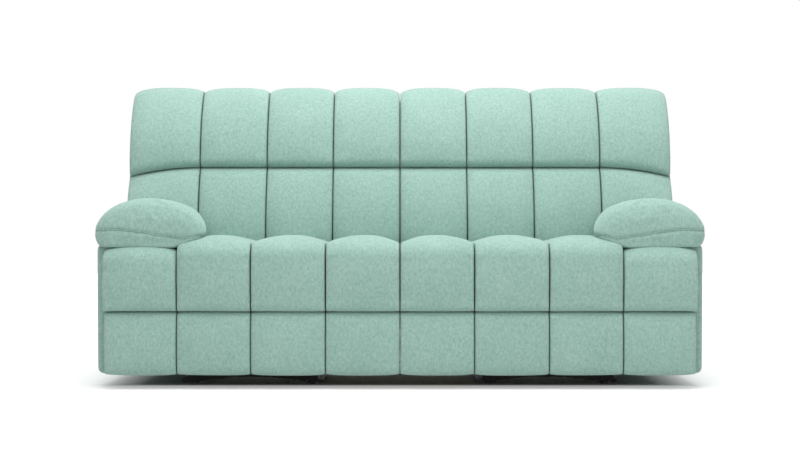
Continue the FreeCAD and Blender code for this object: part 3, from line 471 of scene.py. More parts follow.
def twin(made, name):
    """The mirror image of a left piece, for the right unit."""
    mesh = made.data.copy()
    for vertex in mesh.vertices:
        vertex.co.x = -vertex.co.x
    mesh.flip_normals()
    other = add_object(name, mesh)
    for old in made.modifiers:
        if old.type == "SUBSURF":
            new = other.modifiers.new(old.name, "SUBSURF")
            new.levels = new.render_levels = old.levels
            new.use_limit_surface = False
    return other


def place_pair(made, body, node=None):
    """Puts a left piece and its mirror image on their bodies, in place of the frame's nodes."""
    other = twin(made, made.name.replace("left_", "right_"))
    for piece, side in ((made, "left"), (other, "right")):
        if node:
            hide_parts(f"{side}_{node}")
        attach(piece, f"{side}_{body}")


print("stuffing ready")

# %% [markdown]
# ### Seat
# Each seat has four channels at its front roll. Three run back between the arms, and the outermost one stops
# short because the arm stands behind it. The roll's nose bulges forward over the footrest, and its underside
# tucks back to the front rail.

# %% Seat cushions
front, crown = seat_low[1] / MM, seat_high[2] / MM
roll_low, seat_back = seat_low[2] / MM, seat_high[1] / MM
roll_back, bed = arm_low[1] / MM - 0.5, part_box("left_seat_frame")[1][2] / MM + 0.5


def seat_profile(index, x, d):
    """The seat's section at x, where the cover sits d below its crown."""
    nose = [
        (15, False, (front + d, crown - 140), (front + d + 9, roll_low + 34)),
        (6, False, (front + 0.5 * d + 20, roll_low + 8), (front + 0.3 * d + 42, roll_low)),
        (5, True, (roll_back, roll_low)),
    ]
    if index == 0:
        top = crown - 27 - d
        cap = [
            (4, False, (roll_back - 8, top - 5), (roll_back - 28, top)),
            (9, False, (front + 0.7 * d + 20, top - 20), (front + d + 4, top - 66)),
        ]
        return trace((roll_back, top - 20), cap + nose + [(18, True, (roll_back, top - 20))])
    rise = [
        (14, True, (seat_back, crown - 30 - d)),
        (4, True, (seat_back - 8, crown - 12 - d), (seat_back - 32, crown - 6 - d)),
        (36, False, (-180, crown - 2 - d), (front + 75, crown - 2 - d)),
        (10, False, (front + 0.7 * d + 21, crown - 24 - 0.7 * d), (front + d + 4, crown - 75)),
    ]
    under = [(4, True, (roll_back, bed)), (36, True, (seat_back, bed))]
    return trace((seat_back, bed), rise + nose + under)


seat_depths = [(24, 18)] + [(22, 22)] * 3
seat_cover, seat_marks = column_mesh("left_seat_cover", seat_seams, seat_profile, seat_depths)
print("seat stuffing moved a point", round(stuff(seat_cover, 3.0, 9 * MM) / MM, 1), "mm")
pucker(seat_cover, seat_marks, seed=1.0)
finish_cover(seat_cover, upholstery)
place_pair(seat_cover, "seat", "seat_cushion")

# %% [markdown]
# ### Footrest
# The footrest pad repeats the seat's channels, so that the seams run straight down the sofa's front when it
# is closed. It is a flatter pad than the seat, glued to its board.

# %% Footrest pads
foot_front, foot_back = foot_low[1] / MM, foot_high[1] / MM
pad_low, pad_top = foot_low[2] / MM, foot_high[2] / MM
foot_seams = [foot_low[0] - FOOT_PROUD] + seat_seams[1:]


def foot_profile(index, x, d):
    """The pad's section, up its back, over its top edge and down its face."""
    high, low = pad_top - 0.3 * d, pad_low + 0.3 * d
    return trace(
        (foot_back, low),
        [
            (20, True, (foot_back, high)),
            (8, False, (foot_front + 18 + 0.5 * d, high - 4), (foot_front + 5 + d, pad_top - 28)),
            (14, False, (foot_front + d, (pad_low + pad_top) / 2), (foot_front + 5 + d, pad_low + 28)),
            (7, False, (foot_front + 18 + 0.5 * d, low + 4), (foot_back - 12, low)),
            (2, True, (foot_back, low)),
        ],
    )


foot_depths = [(18, 14)] + [(15, 15)] * 3
foot_cover, foot_marks = column_mesh("left_footrest_cover", foot_seams, foot_profile, foot_depths)
print("footrest stuffing moved a point", round(stuff(foot_cover, 2.5, 6 * MM) / MM, 1), "mm")
pucker(foot_cover, foot_marks, seed=2.0)
finish_cover(foot_cover, upholstery)
place_pair(foot_cover, "footrest", "footrest_pad")

# %% [markdown]
# ### Back
# The back is one cover with two rows: a fuller head row above a crease, and a long lumbar row that runs down
# behind the seat. The outermost channel is the wing over the arm. The crease is a line where the cover is
# stitched through, so its points are held while the two rows fill on either side of it.

# %% Back cushions
crease, crease_drop = 750, 34
CREASE_FRONT, CREASE_REAR, CREASE_LOW = 120, 200, 690
low_behind, low_wing = back_low[2] / MM, arm_high[2] / MM + 25
lean = math.radians(13)
hinge_y, hinge_z, pad_behind = 235, 250, -22.5
top_of_back = back_high[2] / MM


def on_lean(u, z):
    """Y of the plane u behind the hinge line, at height z."""
    along = (z - hinge_z + u * math.sin(lean)) / math.cos(lean)
    return hinge_y + u * math.cos(lean) + along * math.sin(lean)


def back_profile(index, x, d):
    """The section of both rows, from the lower edge up the front, over the top and down behind."""
    wing = index == 0
    low = low_wing if wing else low_behind
    outward_share = max(0.0, min(1.0, (back_seams[1] / MM - x) / (back_seams[1] - back_seams[0]) * MM))
    fold = crease - crease_drop * outward_share**2
    knee = (63 + d, 540) if wing else (63 + d, 508)
    rear_high = on_lean(pad_behind, top_of_back - 34 - 0.5 * d)
    return trace(
        (on_lean(pad_behind, low), low),
        [
            (5, True, (66 + d, low)) if wing else (8, True, (70 + 0.5 * d, low)),
            (1, False, knee) if wing else (14, False, knee),
            (13, False, (82 + d, 622), (119 + d, fold - 36)),
            (6, False, (136 + d, fold - 14), (168 + 0.3 * d, fold - 3)),
            (1, True, (168 + 0.3 * d, fold + 1)),
            (6, False, (142 + d, fold + 7), (133 + d, fold + 32)),
            (17, False, (163 + d, 900), (230 + 0.7 * d, top_of_back - 42 - 0.6 * d)),
            (10, False, (300, top_of_back - d), (rear_high, top_of_back - 34 - 0.5 * d)),
            (24, True, (on_lean(pad_behind, low), low)),
        ],
    )


back_depths = [(30, 20), (22, 22), (22, 22), (22, 28)]
back_cover, back_marks = column_mesh("left_back_pillows", back_seams, back_profile, back_depths)
print("back stuffing moved a point", round(stuff(back_cover, 3.0, 9 * MM) / MM, 1), "mm")
pucker(back_cover, back_marks, seed=3.0)
# Painted shade: the held crease line gets 0.9 and the seams their fold share, darkening the cloth where shade
# falls.
shares = []
for vertex, (seam_near, held, _) in zip(back_cover.data.vertices, back_marks):
    in_crease = held and CREASE_FRONT * MM < vertex.co.y < CREASE_REAR * MM and vertex.co.z > CREASE_LOW * MM
    shares.append(0.9 if in_crease else in_fold(seam_near))
write_painted_shade(back_cover.data, shares)
finish_cover(back_cover, upholstery)
place_pair(back_cover, "back", "back_cushion")

# %% [markdown]
# ### Arm pillow
# The pillow is a loaf: a full top, a flat underside that sits on the arm, and an inner lip that hangs over
# the seat. Its section is drawn from the outer side over the top to the inner lip, and a closed
# smooth curve runs through the points. The inner side draws in towards the back, and both ends are round. A
# voxel remesh gives even squares, the cloth simulation fills it, and then the seam that joins its top panel
# to its lower band is pressed in, all the way round.

# %% Arm pillow
PILLOW_SECTION = [
    (-1009, 532), (-986, 571), (-956, 597), (-926, 612), (-890, 622), (-843, 626), (-775, 620), (-708, 604),
    (-673, 584), (-653, 562), (-639, 535), (-635, 511), (-652, 491), (-692, 476), (-731, 464), (-800, 464),
    (-870, 465), (-940, 466), (-990, 468), (-1008, 494),
]
PILLOW_SEAM = [(-1010, 521), (-925, 524), (-843, 515), (-787, 505), (-712, 495), (-653, 504), (-600, 507)]
PILLOW_REST = 464
HELD_BELOW, HELD_BEHIND, FREE_ABOVE = 482, 10, 474
CLOUD_LIFT, FOLD_LIFT, FOLD_REACH, FOLD_START = 1.5, 2.6, 34, 8
SEAM_PRESS, SEAM_PRESS_REACH, SEAM_PAINTED_SHADE, SEAM_SHADE_REACH = 3.5, 6, 0.6, 3.0
pillow_front, pillow_back = pillow_low[1] / MM, pillow_high[1] / MM
heart_x, heart_z = -820, 535


def smooth_loop(points, per_span):
    """A closed Catmull-Rom curve through the points."""
    made = []
    count = len(points)
    for index in range(count):
        p0, p1, p2, p3 = (points[(index + shift) % count] for shift in (-1, 0, 1, 2))
        for step in range(per_span):
            u = step / per_span
            spot = []
            for a, b, c, e in zip(p0, p1, p2, p3):
                square = (2 * a - 5 * b + 4 * c - e) * u * u
                spot.append((2 * b + (c - a) * u + square + (3 * b - 3 * c + e - a) * u**3) / 2)
            made.append(tuple(spot))
    return made


def loaf(name, section, stations=40, close=5):
    """Rings of the section along Y, rounded at both ends and closed there by shrinking rings."""
    rings = []
    for step in range(stations + 1):
        y = pillow_front + (pillow_back - pillow_front) * step / stations
        scale = 1.0
        for distance, end, reach in ((y - pillow_front, 0.74, 64), (pillow_back - y, 0.86, 40)):
            if distance < reach:
                scale *= end + (1 - end) * math.sqrt(1 - (1 - distance / reach) ** 2)
        taper = 1 - 0.3 * step / stations
        ring = []
        for x, z in section:
            across = (x - heart_x) * scale * (taper if x > heart_x else 1)
            ring.append((heart_x + across, y, PILLOW_REST + (z - PILLOW_REST) * scale))
        rings.append(ring)
    caps = []
    for ring in (rings[0], rings[-1]):
        shrunk = []
        for step in range(1, close + 1):
            keep = 1 - (step - 0.4) / close
            smaller = []
            for x, y, z in ring:
                smaller.append((heart_x + (x - heart_x) * keep, y, heart_z + (z - heart_z) * keep))
            shrunk.append(smaller)
        caps.append(shrunk)
    rings = caps[0][::-1] + rings + caps[1]
    verts = [(x * MM, y * MM, z * MM) for ring in rings for x, y, z in ring]
    size = len(section)
    faces = [tuple(range(size)), tuple(range(len(verts) - 1, len(verts) - size - 1, -1))]
    for ring in range(len(rings) - 1):
        for spot in range(size):
            a, b = ring * size + spot, ring * size + (spot + 1) % size
            faces.append((a, b, b + size, a + size))
    return closed_piece(name, verts, faces)


def apply_modifiers(made):
    """Turns a piece and its modifiers into a plain mesh."""
    mesh = bpy.data.meshes.new_from_object(made.evaluated_get(bpy.context.evaluated_depsgraph_get()))
    made.modifiers.clear()
    made.data = mesh


def remesh(made, voxel, rounds=3):
    """Even squares all over, then a light smoothing."""
    fine = made.modifiers.new("even", "REMESH")
    fine.mode = "VOXEL"
    fine.voxel_size = voxel
    ease = made.modifiers.new("ease", "SMOOTH")
    ease.iterations = rounds
    apply_modifiers(made)


def seam_height(x):
    """Height of the pillow's seam at x, in millimetres."""
    for (x1, z1), (x2, z2) in zip(PILLOW_SEAM, PILLOW_SEAM[1:]):
        if x1 <= x <= x2:
            share = (x - x1) / (x2 - x1)
            return z1 + (z2 - z1) * (3 * share * share - 2 * share**3)
    return PILLOW_SEAM[-1][1]


arm_pad = loaf("left_arm_pad", smooth_loop(PILLOW_SECTION, 4))
remesh(arm_pad, 5.5 * MM)
rear_edge = (pillow_back - HELD_BEHIND) * MM
held = [v.index for v in arm_pad.data.vertices if v.co.z < HELD_BELOW * MM or v.co.y > rear_edge]
arm_pad.vertex_groups.new(name="held").add(held, 1.0, "REPLACE")
print("arm pillow stuffing moved a point", round(stuff(arm_pad, 2.0, 4 * MM) / MM, 1), "mm")
normals = [vertex.normal.copy() for vertex in arm_pad.data.vertices]
shares = []
for vertex, normal in zip(arm_pad.data.vertices, normals):
    away = vertex.co.z / MM - seam_height(vertex.co.x / MM)
    at_side = 1 - abs(normal.z) ** 2
    near_front = math.exp(-(vertex.co.y - pillow_front * MM) / 0.1)
    folds = noise.noise(Vector((vertex.co.x * 22, vertex.co.y * 9, vertex.co.z * 5)))
    clouds = noise.noise(Vector((vertex.co.x * 8, vertex.co.y * 8, vertex.co.z * 8 + 3)))
    wrinkle = folds * FOLD_LIFT * near_front * math.exp(-abs(away) / FOLD_REACH)
    lift = clouds * CLOUD_LIFT + wrinkle * min(1, abs(away) / FOLD_START)
    lift -= SEAM_PRESS * in_fold(away, SEAM_PRESS_REACH) * at_side
    if vertex.co.z > FREE_ABOVE * MM:
        vertex.co = vertex.co + normal * lift * MM
    # Painted shade along the pressed-in seam, on the pillow's sides.
    shares.append(SEAM_PAINTED_SHADE * in_fold(away, SEAM_SHADE_REACH) * at_side)
write_painted_shade(arm_pad.data, shares)
finish_cover(arm_pad, upholstery)
place_pair(arm_pad, "seat", "arm_pillow")
print("arm pillow has", len(arm_pad.data.polygons), "faces before it is smoothed")

# %% [markdown]
# ### Arm panels and outside back
# The arm and the outside back are thin foam and cloth pulled tight over boards, so they are nearly flat with
# soft, round edges. Each starts as a block with bevelled edges. A voxel remesh turns it into even squares,
# which a smoothing pass and a slight crown can then bend like padded cloth. Each arm narrows a little towards
# the floor, and a Boolean cuts the hole for its release cup.

# %% Blocks that turn into padded panels
def block_from_profile(name, profile, x1, x2, edge_round):
    """A profile of (y, z) millimetres carried from x1 to x2, with its edges rounded."""
    work = bmesh.new()
    ring = [work.verts.new((x1 * MM, y * MM, z * MM)) for y, z in profile]
    face = work.faces.new(ring)
    grown = bmesh.ops.extrude_face_region(work, geom=[face])
    moved = [item for item in grown["geom"] if isinstance(item, bmesh.types.BMVert)]
    bmesh.ops.translate(work, verts=moved, vec=((x2 - x1) * MM, 0, 0))
    bmesh.ops.recalc_face_normals(work, faces=work.faces)
    bmesh.ops.bevel(
        work, geom=list(work.edges), offset=edge_round * MM, segments=5, profile=0.5, affect="EDGES"
    )
    mesh = bpy.data.meshes.new(name)
    work.to_mesh(mesh)
    work.free()
    return add_object(name, mesh)


ARM_X = (arm_low[0] / MM, arm_high[0] / MM)
ARM_Y = (arm_low[1] / MM, arm_high[1] / MM)
ARM_REAR_Y, ARM_TOP, ARM_REAR_TOP = 57, 477, arm_high[2] / MM
PANEL_MID_Y, PANEL_MID_Z, PANEL_HALF_Y, PANEL_HALF_Z, PANEL_CROWN = -24, 270, 354, 225, 2.5
NARROWS_FROM, NARROWS_OVER, NARROWS_BY, CUP_RIM = 280, 233, 2, 7
arm_profile = [
    (ARM_Y[0], arm_low[2] / MM), (ARM_Y[1], arm_low[2] / MM), (ARM_Y[1], ARM_REAR_TOP),
    (ARM_REAR_Y, ARM_REAR_TOP), (ARM_REAR_Y, ARM_TOP), (ARM_Y[0], ARM_TOP),
]
arm_panel = block_from_profile("left_arm_panel", arm_profile, *ARM_X, 18)
remesh(arm_panel, 7 * MM)
for vertex in arm_panel.data.vertices:
    y, z = vertex.co.y / MM, vertex.co.z / MM
    if vertex.normal.x < -0.7:
        across, up = (y - PANEL_MID_Y) / PANEL_HALF_Y, (z - PANEL_MID_Z) / PANEL_HALF_Z
        vertex.co.x -= PANEL_CROWN * MM * max(0.0, (1 - across**4) * (1 - up**4))
    if vertex.co.x < ARM_X[0] * MM + 0.06 and z < NARROWS_FROM:
        vertex.co.x += NARROWS_BY * MM * ((NARROWS_FROM - z) / NARROWS_OVER) ** 0.8
cup_low, cup_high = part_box("left_release_cup")
hole_y = (cup_low[1] / MM + CUP_RIM, cup_high[1] / MM - CUP_RIM)
hole_z = (cup_low[2] / MM + CUP_RIM, cup_high[2] / MM - CUP_RIM)
hole = [(hole_y[0], hole_z[0]), (hole_y[1], hole_z[0]), (hole_y[1], hole_z[1]), (hole_y[0], hole_z[1])]
pocket = block_from_profile("pocket", hole, ARM_X[0] - 20, cup_high[0] / MM + 1, 1)
cutter = arm_panel.modifiers.new("cup", "BOOLEAN")
cutter.operation = "DIFFERENCE"
cutter.object = pocket
cutter.solver = "EXACT"
apply_modifiers(arm_panel)
bpy.data.objects.remove(pocket)
finish_cover(arm_panel, upholstery, 0)
place_pair(arm_panel, "seat", "arm_cover")
print("arm panel has", len(arm_panel.data.polygons), "faces")

# %% [markdown]
# ### Outside back
# It is wide behind the wings and narrow between the arms, so a Boolean joins two blocks before the remesh
# makes one cloth of them. Its rear face gets a low crown with slow waves, and a flap closes it below.

# %% Outside back
REAR_LOW, REAR_TOP, FLAP_LOW = 330, 464, shell_low[2] / MM
SHELL_TOP, COVER_BEHIND = shell_high[2] / MM, -21.5
narrow_x, inner_x = -726, middle / MM
PADDED_LOW, JOIN_HIGH, LOWER_LOW, FLAP_TOP, FLAP_THICK = 532, 560, 296, 320, 6
SHELL_MID_X, SHELL_MID_Z, SHELL_HALF_X, SHELL_HALF_Z = -490, 662, 489, 366
SHELL_CROWN, SHELL_WAVE = 5.5, 1.2


def rear_y(z):
    """Y of the outside back at height z."""
    return REAR_LOW + (REAR_TOP - REAR_LOW) * (z - FLAP_LOW) / (top_of_back - 50 - FLAP_LOW)


def shell_profile(low, high):
    """The outside back's section between two heights."""
    return [
        (on_lean(COVER_BEHIND, low), low), (on_lean(COVER_BEHIND, high), high),
        (rear_y(high), high), (rear_y(low), low),
    ]


padded = shell_profile(PADDED_LOW, SHELL_TOP)
outside_back = block_from_profile("left_outside_back", padded, shell_low[0] / MM, inner_x, 16)
lower = block_from_profile("lower", shell_profile(LOWER_LOW, JOIN_HIGH), narrow_x, inner_x, 8)
weld = outside_back.modifiers.new("weld", "BOOLEAN")
weld.operation = "UNION"
weld.object = lower
weld.solver = "EXACT"
remesh(outside_back, 8 * MM)
bpy.data.objects.remove(lower)
for vertex in outside_back.data.vertices:
    x, z = vertex.co.x / MM, vertex.co.z / MM
    if vertex.normal.y > 0.5:
        across, up = (x - SHELL_MID_X) / SHELL_HALF_X, (z - SHELL_MID_Z) / SHELL_HALF_Z
        crown = max(0, 1 - across**4) * max(0, 1 - up**4)
        drift = noise.noise(Vector((vertex.co.x * 4, 0, vertex.co.z * 4)))
        vertex.co.y += (SHELL_CROWN * crown + drift * SHELL_WAVE * crown) * MM
finish_cover(outside_back, upholstery, 0)
place_pair(outside_back, "back", "back_cover")
hem_profile = [
    (rear_y(FLAP_LOW) - FLAP_THICK, FLAP_LOW), (rear_y(FLAP_TOP) - FLAP_THICK, FLAP_TOP),
    (rear_y(FLAP_TOP), FLAP_TOP), (rear_y(FLAP_LOW), FLAP_LOW),
]
hem = block_from_profile("left_back_flap", hem_profile, narrow_x, inner_x, 2)
finish_cover(hem, upholstery, 0)
place_pair(hem, "back")
print("outside back has", len(outside_back.data.polygons), "faces")

# %% [markdown]
# ## Welts, stitches, staples and screws
# All of these are one small thing repeated or swept along a line, which is what Geometry Nodes are for. The
# script draws each line as plain edges. One tree sweeps a cord along it for a welt. Another drops copies of
# a short rod along it, for stitches and for staples. The third puts a screw on each point.

# %% Geometry Nodes trees
class Tree:
    """A Geometry Nodes tree with named inputs."""

    def __init__(self, name, inputs):
        self.group = bpy.data.node_groups.new(name, "GeometryNodeTree")
        self.group.interface.new_socket("Geometry", in_out="INPUT", socket_type="NodeSocketGeometry")
        self.group.interface.new_socket("Geometry", in_out="OUTPUT", socket_type="NodeSocketGeometry")
        for label, kind in inputs.items():
            self.group.interface.new_socket(label, in_out="INPUT", socket_type=kind)
        self.start = self.group.nodes.new("NodeGroupInput")

    def given(self, label):
        return self.start.outputs[label]

    def node(self, kind, settings=None, inputs=None, output=0):
        made = self.group.nodes.new(kind)
        for key, setting in (settings or {}).items():
            setattr(made, key, setting)
        for key, value in (inputs or {}).items():
            if isinstance(value, bpy.types.NodeSocket):
                self.group.links.new(value, made.inputs[key])
            else:
                made.inputs[key].default_value = value
        return made.outputs[output]

    def end(self, geometry):
        """Real meshes only, in the finish that the tree is given."""
        real = self.node("GeometryNodeRealizeInstances", {}, {"Geometry": geometry})
        coat = {"Geometry": real, "Material": self.given("Finish")}
        finished = self.node("GeometryNodeSetMaterial", {}, coat)
        self.group.links.new(finished, self.group.nodes.new("NodeGroupOutput").inputs[0])
        return self.group


def welt_tree():
    """A round cord along a line."""
    kinds = {"Step": "NodeSocketFloat", "Radius": "NodeSocketFloat", "Finish": "NodeSocketMaterial"}
    tree = Tree("welt along a line", kinds)
    line = tree.node("GeometryNodeMeshToCurve", {}, {"Mesh": tree.given("Geometry")})
    spacing = {"Curve": line, "Length": tree.given("Step")}
    even = tree.node("GeometryNodeResampleCurve", {"mode": "LENGTH"}, spacing)
    circle = {"Resolution": 8, "Radius": tree.given("Radius")}
    ring = tree.node("GeometryNodeCurvePrimitiveCircle", {}, circle)
    cord = tree.node("GeometryNodeCurveToMesh", {}, {"Curve": even, "Profile Curve": ring, "Fill Caps": True})
    return tree.end(tree.node("GeometryNodeSetShadeSmooth", {}, {"Geometry": cord}))


def row_tree():
    """Short round rods laid end to end along a line, with gaps."""
    kinds = {"Pitch": "NodeSocketFloat", "Size": "NodeSocketVector", "Finish": "NodeSocketMaterial"}
    tree = Tree("rods along a line", kinds)
    line = tree.node("GeometryNodeMeshToCurve", {}, {"Mesh": tree.given("Geometry")})
    spread = tree.group.nodes.new("GeometryNodeCurveToPoints")
    spread.mode = "LENGTH"
    tree.group.links.new(line, spread.inputs["Curve"])
    tree.group.links.new(tree.given("Pitch"), spread.inputs["Length"])
    bead = tree.node("GeometryNodeMeshUVSphere", {}, {"Segments": 6, "Rings": 4, "Radius": 0.5})
    places = {"Points": spread.outputs["Points"], "Instance": bead, "Rotation": spread.outputs["Rotation"]}
    rods = tree.node("GeometryNodeInstanceOnPoints", {}, {**places, "Scale": tree.given("Size")})
    return tree.end(rods)


def screw_tree():
    """A domed head with a straight slot, facing -X, on every point."""
    tree = Tree("screws on points", {"Radius": "NodeSocketFloat", "Finish": "NodeSocketMaterial"})
    ball = tree.node("GeometryNodeMeshUVSphere", {}, {"Segments": 20, "Rings": 10, "Radius": 1.0})
    dome = tree.node("GeometryNodeTransform", {}, {"Geometry": ball, "Scale": (0.45, 1.0, 1.0)})
    bar = tree.node("GeometryNodeMeshCube", {}, {"Size": (0.34, 0.2, 1.7)})
    slot = tree.node("GeometryNodeTransform", {}, {"Geometry": bar, "Translation": (-0.42, 0.0, 0.0)})
    head = tree.node("GeometryNodeMeshBoolean", {"operation": "DIFFERENCE"}, {"Mesh 1": dome, "Mesh 2": slot})
    places = {"Points": tree.given("Geometry"), "Instance": head, "Scale": tree.given("Radius")}
    return tree.end(tree.node("GeometryNodeInstanceOnPoints", {}, places))


def grow(name, group, lines, settings):
    """Runs a tree on lines of points in millimetres and keeps the result as a plain mesh."""
    mesh = bpy.data.meshes.new(name)
    verts, edges = [], []
    for line in lines:
        edges += [(len(verts) + step, len(verts) + step + 1) for step in range(len(line) - 1)]
        verts += [(x * MM, y * MM, z * MM) for x, y, z in line]
    mesh.from_pydata(verts, edges, [])
    made = add_object(name, mesh)
    growth = made.modifiers.new("growth", "NODES")
    growth.node_group = group
    for item in group.interface.items_tree:
        if item.in_out == "INPUT" and item.name in settings:
            growth[item.identifier] = settings[item.name]
    apply_modifiers(made)
    outward(made.data)
    print(name, "has", len(made.data.polygons), "faces")
    return made


WELT, ROW, SCREW = welt_tree(), row_tree(), screw_tree()

# %% [markdown]
# ### Where the lines run
# The pillow's welt has to lie on the stuffed surface, so the script sends rays at the pillow from outside,
# at the seam's height, and keeps the points where they land: along the outer side, round the front, and back
# along the inner side. The outside back's welt follows its outer edges. The stitches hold the flap's hem.
# Staples hold the footrest's cover to the back of its board.

# %% Sew and fasten
def land(piece, start, aim):
    """Where a ray from start towards aim meets a piece, in millimetres, or None."""
    origin = Vector(start) * MM
    hit, spot, _, _ = piece.ray_cast(origin, (Vector(aim) * MM - origin).normalized())
    return tuple(spot / MM) if hit else None


def unit_circle(degrees):
    """The point of a circle of radius 1 at an angle."""
    return math.cos(math.radians(degrees)), math.sin(math.radians(degrees))


FAR_OUT, FRONT_TURN, INNER_TURN, OUTER_TURN_X, INNER_TURN_X = 250, 75, 70, -925, -715
OUTER_SEAM_Z, FRONT_SEAM_Z, INNER_SEAM_Z = 521, 523, 506
corner_y = pillow_front + FRONT_TURN
rays = []
for y in range(int(pillow_back) - 22, int(corner_y), -12):
    rays.append(((-1100, y, OUTER_SEAM_Z), (-900, y, OUTER_SEAM_Z)))
for turn in range(180, 271, 7):
    x, y = unit_circle(turn)
    start = (OUTER_TURN_X + FAR_OUT * x, corner_y + FAR_OUT * y, FRONT_SEAM_Z)
    rays.append((start, (OUTER_TURN_X, corner_y, FRONT_SEAM_Z)))
for x in range(OUTER_TURN_X + 10, INNER_TURN_X - 1, 10):
    rays.append(((x, pillow_front - 100, seam_height(x)), (x, pillow_front + 100, seam_height(x))))
for turn in range(270, 361, 7):
    x, y = unit_circle(turn)
    high = seam_height(INNER_TURN_X + INNER_TURN * x)
    start = (INNER_TURN_X + FAR_OUT * x, corner_y + FAR_OUT * y, high)
    rays.append((start, (INNER_TURN_X, corner_y, high)))
for y in range(int(corner_y) + 10, int(pillow_back) - 20, 12):
    rays.append(((-500, y, INNER_SEAM_Z), (-800, y, INNER_SEAM_Z)))
welt_line = [spot for spot in (land(arm_pad, start, aim) for start, aim in rays) if spot]
for _ in range(2):
    threes = zip(welt_line, welt_line[1:], welt_line[2:])
    eased = [tuple((a + 2 * b + c) / 4 for a, b, c in zip(*three)) for three in threes]
    welt_line = [welt_line[0]] + eased + [welt_line[-1]]
cording = {"Step": 0.006, "Radius": 0.0021, "Finish": shaded_chenille}
pillow_welt = grow("left_pillow_welt", WELT, [welt_line], cording)
place_pair(pillow_welt, "seat")

edge_x, top_y, seam_end = shell_low[0] / MM + 5, rear_y(SHELL_TOP) - 5, -8
back_line = [(edge_x, rear_y(z) - 4, z) for z in range(545, int(SHELL_TOP) - 12, 15)]
back_line.append((edge_x + 5, top_y, SHELL_TOP - 5))
back_line += [(x, top_y, SHELL_TOP - 4) for x in range(int(edge_x) + 20, seam_end, 20)]
back_welt = grow("left_back_welt", WELT, [back_line], {"Step": 0.012, "Radius": 0.0035, "Finish": shaded_chenille})
place_pair(back_welt, "back")

hem_lines = []
for z in (FLAP_LOW + 12, FLAP_LOW + 20):
    hem_lines.append([(x, rear_y(z) + 0.3, z) for x in range(narrow_x + 10, seam_end, 20)])
sewing = {"Pitch": 0.0052, "Size": (0.0009, 0.0009, 0.0036), "Finish": shaded_chenille}
place_pair(grow("left_hem_stitches", ROW, hem_lines, sewing), "back")

board_low, board_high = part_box("left_footrest_board")
rear, inset = board_high[1] / MM + 0.3, 13
left_x, right_x = board_low[0] / MM + inset, board_high[0] / MM - inset
low_z, high_z = board_low[2] / MM + inset, board_high[2] / MM - inset
staple_lines = [[(left_x, rear, z), (right_x, rear, z)] for z in (low_z, high_z)]
staple_lines += [[(x, rear, low_z + 20), (x, rear, high_z - 20)] for x in (left_x, right_x)]
tacking = {"Pitch": 0.038, "Size": (0.0013, 0.0013, 0.0105), "Finish": finishes["spring_steel"]}
place_pair(grow("left_board_staples", ROW, staple_lines, tacking), "footrest")

cup_mid_z = (cup_low[2] + cup_high[2]) / 2 / MM
RIM_MIDDLE = 4.6
screw_rows = (cup_low[1] / MM + RIM_MIDDLE, cup_high[1] / MM - RIM_MIDDLE)
screw_spots = [[(cup_low[0] / MM, y, cup_mid_z)] for y in screw_rows]
heads = {"Radius": 0.0036, "Finish": finishes["spring_steel"]}
place_pair(grow("left_cup_screws", SCREW, screw_spots, heads), "seat")

# %% [markdown]
# ## Finishes of the frame's own pieces
# Everything rigid keeps its CAD shape and gets the finish of its material slot. The covers above already
# stand in for the soft nodes.

# %% Give each node the finish of its slot
soft_nodes = ("seat_cushion", "footrest_pad", "back_cushion", "arm_pillow", "arm_cover", "back_cover")
replaced = {f"{side}_{soft}" for side in ("left", "right") for soft in soft_nodes}
slots = {row["node"]: row["material_slot"] for row in frame["record"]["subparts"]}
for name, piece in frame["nodes"].items():
    if name in replaced:
        continue
    piece.data.materials.clear()
    piece.data.materials.append(finishes[slots[name]])
print(len(frame["nodes"]) - len(replaced), "nodes finished")

# %% [markdown]
# ## Studio
# The floor is a wide pale sheet. It has to read as white in the picture and still hold the sofa's shadow, so
# it adds a little light of its own, seen only by the camera and by reflections. None is added under the sofa,
# where the shadow is dark, and more is added far away, where the lamps don't reach. The world does the same
# for the background. Lamps are large and soft, so that nothing on the sofa clips.

# %% Floor, world, lamps and camera
def seen_directly(sheet):
    """1 for rays that the camera, a reflection or glass sends, 0 for light."""
    path = sheet.nodes.new("ShaderNodeLightPath")
    total = path.outputs["Is Camera Ray"]
    for name in ("Is Glossy Ray", "Is Transmission Ray"):
        add = sheet.nodes.new("ShaderNodeMath")
        add.operation = "MAXIMUM"
        sheet.links.new(total, add.inputs[0])
        sheet.links.new(path.outputs[name], add.inputs[1])
        total = add.outputs[0]
    return total


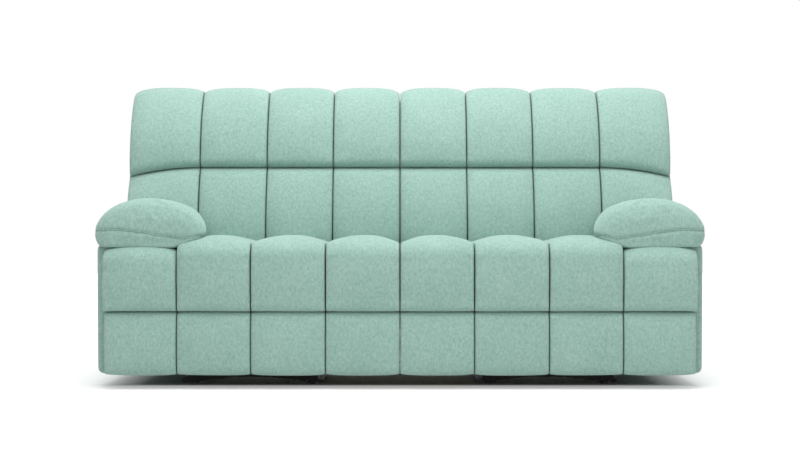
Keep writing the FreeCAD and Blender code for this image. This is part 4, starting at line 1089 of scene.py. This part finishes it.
floor_mesh = bpy.data.meshes.new("floor")
HALF = 14.0
corners = [(-HALF, -HALF, 0), (HALF, -HALF, 0), (HALF, HALF, 0), (-HALF, HALF, 0)]
floor_mesh.from_pydata(corners, [], [(0, 1, 2, 3)])
floor = add_object("floor", floor_mesh)
paper = Finish("studio paper")
direct = Value(paper, seen_directly(paper.tree))
SHADE_X, SHADE_Y, SHADE_MIDDLE, GLOW = (0.86, 1.06), (0.36, 0.41), 0.1, (1.2, 4.0)
here = paper.position()
split = paper.node("ShaderNodeSeparateXYZ", {}, {"Vector": here})
depth = Value(paper, split.socket.node.outputs[1])
sideways = paper.node("ShaderNodeMath", {"operation": "ABSOLUTE"}, {0: split})
behind = paper.node("ShaderNodeMath", {"operation": "ABSOLUTE"}, {0: depth - SHADE_MIDDLE})
edges = {0: paper.stretch(sideways, *SHADE_X), 1: paper.stretch(behind, *SHADE_Y)}
outside = paper.node("ShaderNodeMath", {"operation": "MAXIMUM"}, edges)
distance = paper.node("ShaderNodeVectorMath", {"operation": "LENGTH"}, {0: here}, output=1)
glow = 0.34 + paper.stretch(distance, *GLOW) * 0.7
paper.set(Base_Color=(0.82, 0.82, 0.82, 1.0), Roughness=0.9, Specular_IOR_Level=0.0)
paper.set(Emission_Color=(1.0, 1.0, 1.0, 1.0), Emission_Strength=direct * outside * glow)
floor_mesh.materials.append(paper.material)

world = bpy.data.worlds.new("studio")
world.use_nodes = True
bpy.context.scene.world = world
sky = world.node_tree
background = sky.nodes["Background"]
background.inputs["Color"].default_value = (1, 1, 1, 1)
strength = sky.nodes.new("ShaderNodeMapRange")
strength.inputs["To Min"].default_value = 0.5
strength.inputs["To Max"].default_value = 1.0
sky.links.new(seen_directly(sky), strength.inputs["Value"])
sky.links.new(strength.outputs[0], background.inputs["Strength"])

LAMPS = [
    ("key", (-1.2, -3.2, 3.6), (0, 0, 0.5), 3.2, 50),
    ("top", (0.1, -0.5, 3.4), (0, 0, 0.4), 3.0, 104),
    ("fill", (2.8, -2.4, 1.6), (0, 0, 0.5), 2.4, 16),
]
for name, spot, aim, side, power in LAMPS:
    lamp = bpy.data.lights.new(name, "AREA")
    lamp.shape = "SQUARE"
    lamp.size = side
    lamp.energy = power
    holder = add_object(name, lamp)
    holder.location = spot
    holder.rotation_euler = (Vector(aim) - Vector(spot)).to_track_quat("-Z", "Y").to_euler()

eye = bpy.data.cameras.new("camera")
eye.sensor_width = 36
eye.lens = 74.7
camera = add_object("camera", eye)
camera.location = (0, -5.87, 0.526)
camera.rotation_euler = (math.pi / 2, 0, 0)
bpy.context.scene.camera = camera
bpy.context.scene.view_settings.view_transform = "Standard"
print("camera lens", eye.lens, "mm")
